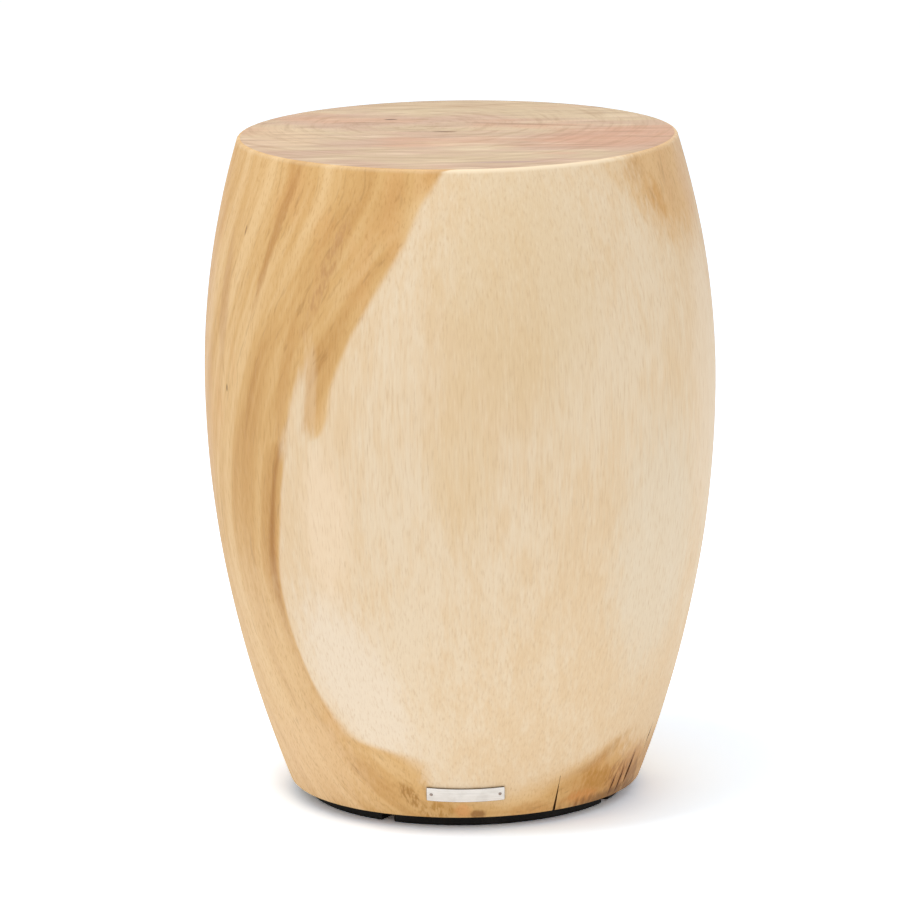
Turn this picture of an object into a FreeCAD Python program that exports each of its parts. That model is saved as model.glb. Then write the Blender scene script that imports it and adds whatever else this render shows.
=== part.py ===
"""Round side table turned from one block of log, on a ring of four rubber foot pads.

Millimetres, +Z up. The origin is on the floor, on the table's axis. The front, where the plate is, faces -Y.
A heading is a direction seen from above: 0 is the front, 90 is the right hand side, +X.
"""

import FreeCAD, Part
import math
import os

import Sketcher

# Driving lengths, in millimetres.
LENGTHS = {
    # The turned log: its height counts the foot pads, and both insets are taken from the belly's radius.
    "table_height": 450.0,
    "belly_diameter": 345.0,
    "belly_height": 286.0,
    "rim_inset": 24.5,
    "foot_inset": 53.0,
    "rim_round": 2.5,
    "foot_round": 1.5,
    # The drying check that opens at the foot and closes upwards.
    "check_width": 2.0,
    "check_height": 25.0,
    "check_depth": 9.0,
    # The ring of foot pads, set in from the log's foot.
    "pad_height": 8.5,
    "pad_inset": 12.0,
    "pad_width": 24.0,
    "pad_gap": 9.5,
    "pad_edge_round": 1.0,
    # The pan-head wood screws: the end distance runs along the pad's middle line to the outer screw,
    # the length is taken below the head, and the head lies above the floor by its recess.
    "screw_end_distance": 25.0,
    "screw_head_recess": 2.4,
    "screw_length": 25.0,
    "screw_shank_diameter": 3.5,
    "screw_tip_length": 4.0,
    "screw_head_diameter": 7.5,
    "screw_head_height": 2.6,
    "screw_head_round": 1.0,
    "screw_cross_length": 4.0,
    "screw_cross_width": 1.1,
    "screw_cross_depth": 1.3,
    "screw_clearance": 0.1,
    "screw_head_clearance": 0.6,
    "screw_end_room": 1.0,
    # The blank plate: its length runs round the flank, its rise goes from the log's foot to its middle.
    "plate_length": 52.0,
    "plate_width": 10.5,
    "plate_thickness": 0.8,
    "plate_corner_round": 0.8,
    "plate_rise": 18.0,
    "plate_seat_gap": 0.1,
    # The escutcheon pins: the length is taken below the head.
    "pin_inset": 3.2,
    "pin_length": 12.0,
    "pin_shank_diameter": 1.2,
    "pin_tip_length": 2.0,
    "pin_head_diameter": 2.2,
    "pin_head_height": 0.6,
    "pin_clearance": 0.1,
    "pin_end_room": 0.5,
    # How far every cut runs past the face that it opens.
    "cut_overrun": 5.0,
}

# Driving headings, in degrees.
ANGLES = {
    "check_heading_deg": 29.5,
    "pad_heading_deg": 16.0,
}

# The front pad's name comes first, and the others follow at equal headings towards the right.
PAD_SIDES = ("front", "right", "back", "left")
PAD_STEP_DEG = 360 / len(PAD_SIDES)
SCREWS_PER_PAD = 3
PIN_SIDES = {"left": -1, "right": 1}

# From a heading to the angle about +Z that starts at +X.
HEADING_TO_ANGLE_DEG = -90

# What follows from the driving sizes, as formulas of them.
WORKED = {
    "belly_radius": "Sizes.belly_diameter / 2",
    "rim_radius": "belly_radius - Sizes.rim_inset",
    "foot_radius": "belly_radius - Sizes.foot_inset",
    "shoulder_lean_deg": (
        "atan(2 * Sizes.rim_inset / (Sizes.table_height - Sizes.rim_round - Sizes.belly_height)) / 1 deg"
    ),
    "shoulder_top": "Sizes.table_height - Sizes.rim_round * (1 - sin(shoulder_lean_deg))",
    "top_flat_radius": "rim_radius - Sizes.rim_round * cos(shoulder_lean_deg)",
    "flank_lean_deg": (
        "atan(2 * Sizes.foot_inset / (Sizes.belly_height - Sizes.pad_height - Sizes.foot_round)) / 1 deg"
    ),
    "flank_foot": "Sizes.pad_height + Sizes.foot_round * (1 - sin(flank_lean_deg))",
    "foot_flat_radius": "foot_radius - Sizes.foot_round * cos(flank_lean_deg)",
    "flank_drop": "Sizes.belly_height - flank_foot",
    "check_floor_radius": "foot_radius - Sizes.check_depth",
    "pad_outer_radius": "foot_radius - Sizes.pad_inset",
    "pad_inner_radius": "pad_outer_radius - Sizes.pad_width",
    "pad_outer_half_deg": f"{PAD_STEP_DEG / 2} - asin(Sizes.pad_gap / 2 / pad_outer_radius) / 1 deg",
    "pad_inner_half_deg": f"{PAD_STEP_DEG / 2} - asin(Sizes.pad_gap / 2 / pad_inner_radius) / 1 deg",
    "counterbore_depth": "Sizes.screw_head_recess + Sizes.screw_head_height",
    "pad_web": "Sizes.pad_height - counterbore_depth",
    "counterbore_radius": "Sizes.screw_head_diameter / 2 + Sizes.screw_head_clearance",
    "screw_circle_radius": "(pad_outer_radius + pad_inner_radius) / 2",
    "pad_half_deg": f"{PAD_STEP_DEG / 2} - asin(Sizes.pad_gap / 2 / screw_circle_radius) / 1 deg",
    "screw_spread_deg": "pad_half_deg - Sizes.screw_end_distance / screw_circle_radius * 180 / pi",
    "screw_shank_radius": "Sizes.screw_shank_diameter / 2",
    "screw_hole_radius": "screw_shank_radius + Sizes.screw_clearance / 2",
    "screw_hole_depth": "Sizes.screw_length - pad_web + Sizes.screw_end_room",
    "plate_mid_height": "Sizes.pad_height + Sizes.plate_rise",
    "plate_drop_share": "(Sizes.belly_height - plate_mid_height) / flank_drop",
    "plate_tilt_deg": "atan(2 * Sizes.foot_inset * plate_drop_share / flank_drop) / 1 deg",
    "plate_seat_radius": "belly_radius - Sizes.foot_inset * plate_drop_share ^ 2",
    "plate_sweep_deg": "Sizes.plate_length / plate_seat_radius * 180 / pi",
    "plate_face_offset": "Sizes.plate_seat_gap + Sizes.plate_thickness",
    "pin_heading_deg": "(Sizes.plate_length / 2 - Sizes.pin_inset) / plate_seat_radius * 180 / pi",
    "pin_shank_radius": "Sizes.pin_shank_diameter / 2",
    "pin_hole_radius": "pin_shank_radius + Sizes.pin_clearance / 2",
    "pin_hole_depth": "Sizes.pin_length - plate_face_offset + Sizes.pin_end_room",
}

doc = FreeCAD.newDocument("side_table")


def fill_sheet(name, cells):
    """Makes a sheet with one named cell a row: plain numbers, or formulas."""
    sheet = doc.addObject("Spreadsheet::Sheet", name)
    for row, (alias, content) in enumerate(cells.items(), start=1):
        sheet.set(f"A{row}", alias)
        sheet.set(f"B{row}", f"={content}" if isinstance(content, str) else str(content))
        sheet.setAlias(f"B{row}", alias)
    doc.recompute()
    return sheet


sizes = fill_sheet("Sizes", {**LENGTHS, **ANGLES})
fill_sheet("Worked", WORKED)


def new_body(label):
    """Makes an empty body for one sub-part, whose label names its file."""
    body = doc.addObject("PartDesign::Body", label)
    body.Label = label
    return body


def origin_feature(body, role):
    """Finds one of a body's own origin planes or axes."""
    return next(feature for feature in body.Origin.OriginFeatures if feature.Role == role)


def new_sketch(body, name, plane, offset=None):
    """Makes a sketch on one of the body's origin planes, moved by the formula of an offset."""
    sketch = body.newObject("Sketcher::SketchObject", name)
    sketch.AttachmentSupport = [(origin_feature(body, plane), "")]
    sketch.MapMode = "FlatFace"
    if offset:
        sketch.setExpression("AttachmentOffset", offset)
    doc.recompute()
    return sketch


def add_dimension(sketch, kind, *places, formula):
    """Adds one dimension to a sketch and binds it to a formula."""
    value = float(sketch.evalExpression(formula))
    index = sketch.addConstraint(Sketcher.Constraint(kind, *places, value))
    sketch.setExpression(f"Constraints[{index}]", formula)


# A sketch's own names for its origin and for the places on an edge, and the direction that it faces.
ORIGIN_POINT = (-1, 1)
START_INDEX, END_INDEX, CENTRE_INDEX = 1, 2, 3
UPWARDS = FreeCAD.Vector(0, 0, 1)
# Two places or lengths are the same if they differ by less than this share of the edge's length.
SAME_SHARE = 1e-6


def place_point(sketch, edge, place, corner):
    """Fixes a point of an edge at the formulas of its two coordinates."""
    for kind, formula in zip(("DistanceX", "DistanceY"), corner):
        add_dimension(sketch, kind, *ORIGIN_POINT, edge, place, formula=formula)


def point_at(sketch, corner):
    """Works out a corner given as the formulas of its two coordinates."""
    return FreeCAD.Vector(*(float(sketch.evalExpression(formula)) for formula in corner), 0)


def draw_edge(sketch, first, second, arc, bow):
    """Draws one edge of an outline: an arc, a three-pole bow, or a straight line where it is neither."""
    if arc:
        radius = float(sketch.evalExpression(arc["radius"]))
        circle = Part.Circle(point_at(sketch, arc["centre"]), UPWARDS, radius)
        ends = (second, first) if arc["clockwise"] else (first, second)
        edge = Part.ArcOfCircle(circle, *(circle.parameter(point) for point in ends))
    elif bow:
        edge = Part.BSplineCurve()
        edge.buildFromPolesMultsKnots([first, point_at(sketch, bow), second], [3, 3], [0, 1], False, 2)
    else:
        edge = Part.LineSegment(first, second)
    sketch.addGeometry(edge)


def draw_outline(sketch, corners, arcs=None, bows=None):
    """Draws a closed outline through corners given as formulas, from each corner to the next.

    An entry of arcs or bows belongs to the edge that starts at the corner of its number. An arc has the
    formulas of its radius and centre, and a bow has those of the point where the tangents at its ends meet.
    """
    arcs, bows = arcs or {}, bows or {}
    backwards = {number for number, arc in arcs.items() if arc["clockwise"]}
    points = [point_at(sketch, corner) for corner in corners]
    followers = list(range(1, len(points))) + [0]
    for number, following in enumerate(followers):
        draw_edge(sketch, points[number], points[following], arcs.get(number), bows.get(number))
    for number, following in enumerate(followers):
        end = START_INDEX if number in backwards else END_INDEX
        start = END_INDEX if following in backwards else START_INDEX
        sketch.addConstraint(Sketcher.Constraint("Coincident", number, end, following, start))
    for number, corner in enumerate(corners):
        place_point(sketch, number, END_INDEX if number in backwards else START_INDEX, corner)
    for number, arc in arcs.items():
        add_dimension(sketch, "Radius", number, formula=arc["radius"])
    for number, pole in bows.items():
        middle_pole = sketch.GeometryCount + 1
        sketch.exposeInternalGeometry(number)
        place_point(sketch, middle_pole, CENTRE_INDEX, pole)


def draw_circle(sketch, radius, centre):
    """Draws a circle from the formulas of its radius and centre."""
    size = float(sketch.evalExpression(radius))
    circle = sketch.addGeometry(Part.Circle(point_at(sketch, centre), UPWARDS, size))
    place_point(sketch, circle, CENTRE_INDEX, centre)
    add_dimension(sketch, "Radius", circle, formula=radius)


def revolve(body, sketch, axis, degrees="360"):
    """Turns a sketch about a sketch axis or an origin axis, half the turn to each side of the sketch."""
    turn = body.newObject("PartDesign::Revolution", f"{sketch.Name}_turn")
    turn.Profile = sketch
    turn.ReferenceAxis = axis
    turn.Midplane = True
    turn.setExpression("Angle", degrees)
    doc.recompute()
    return turn


def round_edges(body, radius, chosen):
    """Rounds the edges of the body's last feature that a test chooses."""
    base = body.Tip
    names = [f"Edge{number}" for number, edge in enumerate(base.Shape.Edges, start=1) if chosen(edge)]
    if not names:
        raise RuntimeError(f"{body.Label}: no edge to round by {radius}")
    fillet = body.newObject("PartDesign::Fillet", f"{body.Name}_{radius.rpartition('.')[2]}")
    fillet.Base = (base, names)
    fillet.setExpression("Radius", radius)
    doc.recompute()
    return fillet


def cut(body, sketch, depth=None, outwards=False, both_ways=False):
    """Cuts a sketch's outline out of the body, against the sketch's normal unless outwards or both ways.

    A cut with no depth goes all the way through. A cut that takes nothing away stops the script.
    """
    base = body.Tip.Shape
    pocket = body.newObject("PartDesign::Pocket", f"{sketch.Name}_cut")
    pocket.Profile = sketch
    pocket.Reversed = outwards
    if both_ways:
        pocket.Midplane = True
    if depth:
        pocket.Type = "Length"
        pocket.setExpression("Length", depth)
    else:
        pocket.Type = "ThroughAll"
    doc.recompute()
    if not base.cut(pocket.Shape).Volume > 0:
        raise RuntimeError(f"{pocket.Label} cuts nothing")
    return pocket


def lies_at(edge, height):
    """Says whether all of an edge lies at one height."""
    box = edge.BoundBox
    return max(abs(box.ZMin - height), abs(box.ZMax - height)) < edge.Length * SAME_SHARE


def pin_seat_offset(sign, out="0"):
    """Gives the formula that moves a sketch from the XZ plane to a pin's place, square to the flank.

    The sketch lies at the flank, or out from it by the formula of a distance.
    """
    heading = f"({sign} * Worked.pin_heading_deg)"
    place = (
        f"vector(Worked.plate_seat_radius * sin({heading}); Worked.plate_mid_height; "
        f"Worked.plate_seat_radius * cos({heading}))"
    )
    seat = f"placement({place}; rotation(0; {heading}; Worked.plate_tilt_deg))"
    return f"{seat} * placement(vector(0; 0; {out}); rotation(0; 0; 0))"


def screw_places():
    """Gives the formulas of one pad's screw centres, seen from the pad's middle, which lies on +X."""
    half_count = (SCREWS_PER_PAD - 1) / 2
    spreads = [f"({number / half_count - 1} * Worked.screw_spread_deg)" for number in range(SCREWS_PER_PAD)]
    return [
        (f"Worked.screw_circle_radius * cos({spread})", f"Worked.screw_circle_radius * sin({spread})")
        for spread in spreads
    ]


def pad_angle(number):
    """Gives the formula of the angle about +Z of a pad's middle."""
    return f"({number * PAD_STEP_DEG + HEADING_TO_ANGLE_DEG} + Sizes.pad_heading_deg)"


def build_log_body():
    """Turns the barrel from its half outline, then cuts the drying check and the screw and pin holes."""
    body = new_body("log_body")
    outline = new_sketch(body, "log_outline", "XZ_Plane")
    draw_outline(
        outline,
        [
            ("0", "Sizes.pad_height"),
            ("Worked.foot_flat_radius", "Sizes.pad_height"),
            ("Worked.foot_radius", "Worked.flank_foot"),
            ("Worked.belly_radius", "Sizes.belly_height"),
            ("Worked.rim_radius", "Worked.shoulder_top"),
            ("Worked.top_flat_radius", "Sizes.table_height"),
            ("0", "Sizes.table_height"),
        ],
        arcs={
            1: {
                "radius": "Sizes.foot_round",
                "centre": ("Worked.foot_flat_radius", "Sizes.pad_height + Sizes.foot_round"),
                "clockwise": False,
            },
            4: {
                "radius": "Sizes.rim_round",
                "centre": ("Worked.top_flat_radius", "Sizes.table_height - Sizes.rim_round"),
                "clockwise": False,
            },
        },
        bows={
            2: ("Worked.belly_radius", "(Worked.flank_foot + Sizes.belly_height) / 2"),
            3: ("Worked.belly_radius", "(Sizes.belly_height + Worked.shoulder_top) / 2"),
        },
    )
    revolve(body, outline, (outline, ["V_Axis"]))

    heading, floor = "Sizes.check_heading_deg", "Worked.check_floor_radius"
    place = f"vector({floor} * sin({heading}); 0; {floor} * cos({heading}))"
    check = new_sketch(body, "drying_check", "XZ_Plane", f"placement({place}; rotation(0; {heading}; 0))")
    below_foot = "Sizes.pad_height - Sizes.cut_overrun"
    draw_outline(
        check,
        [
            ("-Sizes.check_width / 2", below_foot),
            ("Sizes.check_width / 2", below_foot),
            ("Sizes.check_width / 2", "Sizes.pad_height"),
            ("0", "Sizes.pad_height + Sizes.check_height"),
            ("-Sizes.check_width / 2", "Sizes.pad_height"),
        ],
    )
    cut(body, check, outwards=True)

    underside = f"placement(vector(0; 0; Sizes.pad_height); rotation({pad_angle(0)}; 0; 0))"
    screw_holes = new_sketch(body, "screw_holes", "XY_Plane", underside)
    for centre in screw_places():
        draw_circle(screw_holes, "Worked.screw_hole_radius", centre)
    holes = cut(body, screw_holes, "Worked.screw_hole_depth", outwards=True)
    every_pad = body.newObject("PartDesign::PolarPattern", "screw_holes_of_every_pad")
    every_pad.Originals = [holes]
    every_pad.Axis = (origin_feature(body, "Z_Axis"), [""])
    every_pad.Angle = 360
    every_pad.Occurrences = len(PAD_SIDES)
    body.Tip = every_pad
    doc.recompute()

    for side, sign in PIN_SIDES.items():
        outside = pin_seat_offset(sign, "Sizes.cut_overrun")
        hole = new_sketch(body, f"log_pin_hole_{side}", "XZ_Plane", outside)
        draw_circle(hole, "Worked.pin_hole_radius", ("0", "0"))
        cut(body, hole, "Sizes.cut_overrun + Worked.pin_hole_depth")
    return body


def build_name_plate():
    """Bends the plate round the flank by turning its slanted section, and drills it for its pins."""
    body = new_body("name_plate")
    to_front = f"placement(vector(0; 0; 0); rotation(0; {HEADING_TO_ANGLE_DEG}; 0))"
    section = new_sketch(body, "plate_section", "XZ_Plane", to_front)
    tilt = "Worked.plate_tilt_deg"

    def corner(out, along):
        """Gives a corner from its distances out of the flank and up along it."""
        return (
            f"Worked.plate_seat_radius + ({out}) * cos({tilt}) + ({along}) * sin({tilt})",
            f"Worked.plate_mid_height - ({out}) * sin({tilt}) + ({along}) * cos({tilt})",
        )

    inner, outer = "Sizes.plate_seat_gap", "Worked.plate_face_offset"
    low, high = "-Sizes.plate_width / 2", "Sizes.plate_width / 2"
    draw_outline(section, [corner(inner, low), corner(outer, low), corner(outer, high), corner(inner, high)])
    revolve(body, section, (origin_feature(body, "Z_Axis"), [""]), "Worked.plate_sweep_deg")
    round_edges(
        body,
        "Sizes.plate_corner_round",
        lambda edge: math.isclose(edge.Length, sizes.plate_thickness, rel_tol=SAME_SHARE),
    )
    for side, sign in PIN_SIDES.items():
        hole = new_sketch(body, f"plate_pin_hole_{side}", "XZ_Plane", pin_seat_offset(sign))
        draw_circle(hole, "Worked.pin_hole_radius", ("0", "0"))
        cut(body, hole, "2 * Sizes.cut_overrun", both_ways=True)
    return body


def build_plate_pin(side, sign):
    """Turns one escutcheon pin, with its head's bearing face at the plate's outer face."""
    body = new_body(f"plate_pin_{side}")
    outline = new_sketch(body, f"pin_outline_{side}", "XZ_Plane")
    head_radius = "Sizes.pin_head_diameter / 2"
    dome = "(Sizes.pin_head_height ^ 2 + Sizes.pin_head_diameter ^ 2 / 4) / (2 * Sizes.pin_head_height)"
    draw_outline(
        outline,
        [
            ("0", "-Sizes.pin_length"),
            ("Worked.pin_shank_radius", "Sizes.pin_tip_length - Sizes.pin_length"),
            ("Worked.pin_shank_radius", "0"),
            (head_radius, "0"),
            ("0", "Sizes.pin_head_height"),
        ],
        arcs={3: {"radius": dome, "centre": ("0", f"Sizes.pin_head_height - {dome}"), "clockwise": False}},
    )
    revolve(body, outline, (outline, ["V_Axis"]))
    heading = f"({sign} * Worked.pin_heading_deg)"
    reach = "(Worked.plate_seat_radius + Worked.plate_face_offset * cos(Worked.plate_tilt_deg))"
    height = "Worked.plate_mid_height - Worked.plate_face_offset * sin(Worked.plate_tilt_deg)"
    place = f"vector({reach} * sin({heading}); -{reach} * cos({heading}); {height})"
    turn = f"rotation({heading}; 0; Worked.plate_tilt_deg - {HEADING_TO_ANGLE_DEG})"
    body.setExpression("Placement", f"placement({place}; {turn})")
    return body


def build_foot_pad(number, side):
    """Cuts one arc of the foot ring, rounds it at the floor and counterbores it for its screws."""
    body = new_body(f"foot_pad_{side}")
    outline = new_sketch(body, f"pad_outline_{side}", "XY_Plane")

    def corner(edge, sign):
        """Gives the end of an arc at one side of the pad's middle."""
        radius, half = f"Worked.pad_{edge}_radius", f"Worked.pad_{edge}_half_deg"
        return f"{radius} * cos({half})", f"{sign} * {radius} * sin({half})"

    draw_outline(
        outline,
        [corner("outer", -1), corner("outer", 1), corner("inner", 1), corner("inner", -1)],
        arcs={
            0: {"radius": "Worked.pad_outer_radius", "centre": ("0", "0"), "clockwise": False},
            2: {"radius": "Worked.pad_inner_radius", "centre": ("0", "0"), "clockwise": True},
        },
    )
    block = body.newObject("PartDesign::Pad", f"pad_block_{side}")
    block.Profile = outline
    block.setExpression("Length", "Sizes.pad_height")
    doc.recompute()
    round_edges(body, "Sizes.pad_edge_round", lambda edge: lies_at(edge, 0))
    for name, radius, depth in (
        ("counterbores", "Worked.counterbore_radius", "Worked.counterbore_depth"),
        ("shank_holes", "Worked.screw_hole_radius", None),
    ):
        holes = new_sketch(body, f"{name}_{side}", "XY_Plane")
        for place in screw_places():
            draw_circle(holes, radius, place)
        cut(body, holes, depth, outwards=True)
    body.setExpression("Placement", f"placement(vector(0; 0; 0); rotation({pad_angle(number)}; 0; 0))")
    return body


def build_pad_screw(pad_number, side, screw_number):
    """Turns one pan-head screw, point up, whose head bears on the floor of the pad's counterbore."""
    name = f"{side}_{screw_number + 1}"
    body = new_body(f"pad_screw_{name}")
    outline = new_sketch(body, f"screw_outline_{name}", "XZ_Plane")
    head_radius = "Sizes.screw_head_diameter / 2"
    draw_outline(
        outline,
        [
            ("0", "-Sizes.screw_head_height"),
            (head_radius, "-Sizes.screw_head_height"),
            (head_radius, "0"),
            ("Worked.screw_shank_radius", "0"),
            ("Worked.screw_shank_radius", "Sizes.screw_length - Sizes.screw_tip_length"),
            ("0", "Sizes.screw_length"),
        ],
    )
    revolve(body, outline, (outline, ["V_Axis"]))
    round_edges(body, "Sizes.screw_head_round", lambda edge: lies_at(edge, -sizes.screw_head_height))
    head_face = "placement(vector(0; 0; -Sizes.screw_head_height); rotation(0; 0; 0))"
    cross = new_sketch(body, f"screw_cross_{name}", "XY_Plane", head_face)
    arm, flank = "Sizes.screw_cross_length / 2", "Sizes.screw_cross_width / 2"
    lower_quarter = [(flank, f"-{arm}"), (flank, f"-{flank}"), (arm, f"-{flank}")]
    right_half = lower_quarter + [(arm, flank), (flank, flank), (flank, arm)]
    draw_outline(cross, right_half + [(f"-({x})", f"-({y})") for x, y in right_half])
    cut(body, cross, "Sizes.screw_cross_depth", outwards=True)
    x, y = screw_places()[screw_number]
    turn = pad_angle(pad_number)
    place = (
        f"vector({x} * cos({turn}) - {y} * sin({turn}); {x} * sin({turn}) + {y} * cos({turn}); "
        "Worked.counterbore_depth)"
    )
    body.setExpression("Placement", f"placement({place}; rotation({turn}; 0; 0))")
    return body


def build_parts():
    """Builds every sub-part, in the order in which the table is put together."""
    parts = [build_log_body()]
    for number, side in enumerate(PAD_SIDES):
        parts.append(build_foot_pad(number, side))
        parts.extend(build_pad_screw(number, side, screw) for screw in range(SCREWS_PER_PAD))
    parts.append(build_name_plate())
    parts.extend(build_plate_pin(side, sign) for side, sign in PIN_SIDES.items())
    doc.recompute()
    return parts


def check_and_write(parts):
    """Stops at anything that failed or is not one sound solid, then writes one file a sub-part."""
    failed = [item.Name for item in doc.Objects if {"Invalid", "Error"} & set(item.State)]
    unsound = [
        part.Label
        for part in parts
        if part.Shape.isNull() or not part.Shape.isValid() or len(part.Shape.Solids) != 1
    ]
    if failed or unsound:
        raise RuntimeError(f"failed: {failed}, unsound: {unsound}")
    os.makedirs("parts", exist_ok=True)
    for part in parts:
        part.Shape.exportStep(f"parts/{part.Label}.step")
        box = part.Shape.BoundBox
        print(f"{part.Label}: {part.Shape.Volume:.1f} mm3, z {box.ZMin:.2f} to {box.ZMax:.2f}")


check_and_write(build_parts())
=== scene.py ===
"""Looks of the round side table: figured wood on the turned log, a blank plate and a ring of foot pads.

Metres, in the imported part's frame: +Z up, the origin on the floor on the table's axis, the front towards -Y.
A heading is a direction seen from above, in degrees: 0 is the front, and 90 the right hand side, +X.
"""

import logging
import math
from abc import ABC, abstractmethod
from collections.abc import Iterable, Sequence
from dataclasses import dataclass
from enum import Enum, IntEnum
from itertools import pairwise
from typing import ClassVar

import bmesh
import bpy
from mathutils import Matrix, Quaternion, Vector
from mathutils.noise import noise


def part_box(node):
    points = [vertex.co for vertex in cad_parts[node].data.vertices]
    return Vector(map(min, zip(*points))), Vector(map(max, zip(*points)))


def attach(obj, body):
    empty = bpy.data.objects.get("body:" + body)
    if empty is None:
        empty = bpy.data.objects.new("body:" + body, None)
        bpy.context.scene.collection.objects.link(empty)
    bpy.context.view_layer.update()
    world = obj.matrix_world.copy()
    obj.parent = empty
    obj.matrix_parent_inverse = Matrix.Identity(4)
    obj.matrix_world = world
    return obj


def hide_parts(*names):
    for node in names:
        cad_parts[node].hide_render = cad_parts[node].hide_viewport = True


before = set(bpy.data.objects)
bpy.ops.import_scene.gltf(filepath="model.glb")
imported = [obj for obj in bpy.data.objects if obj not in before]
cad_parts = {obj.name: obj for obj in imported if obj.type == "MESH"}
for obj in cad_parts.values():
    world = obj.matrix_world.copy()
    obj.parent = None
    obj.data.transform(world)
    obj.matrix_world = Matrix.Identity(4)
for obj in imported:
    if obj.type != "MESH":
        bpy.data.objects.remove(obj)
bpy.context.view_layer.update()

MM = 0.001
UP = Vector((0, 0, 1))
SHARP_ANGLE = math.radians(40)
logger = logging.getLogger("side_table")

Colour = tuple[float, float, float, float]
Triple = tuple[float, float, float]
Socket = bpy.types.NodeSocket
Feed = Socket | float | Sequence[float]
Row = list[bmesh.types.BMVert]


def paint(red: int, green: int, blue: int) -> Colour:
    """Turns a display colour into the linear one that shaders take.

    Args:
        red: Red channel, 0 to 255.
        green: Green channel, 0 to 255.
        blue: Blue channel, 0 to 255.

    Returns:
        The linear colour, opaque.
    """
    shares = [channel / 255 for channel in (red, green, blue)]
    linear = [share / 12.92 if share <= 0.04045 else ((share + 0.055) / 1.055) ** 2.4 for share in shares]
    return (*linear, 1.0)


def outward(heading_deg: float) -> Vector:
    """Gives the level direction of a heading."""
    return Vector((math.sin(math.radians(heading_deg)), -math.cos(math.radians(heading_deg)), 0))


class SocketKind(Enum):
    """What a node group's socket carries."""

    VALUE = "NodeSocketFloat"
    PLACE = "NodeSocketVector"


class LogFace(IntEnum):
    """Which of the log's finishes a face has."""

    FLANK = 0
    END_GRAIN = 1
    CHECK_WALL = 2


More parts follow.
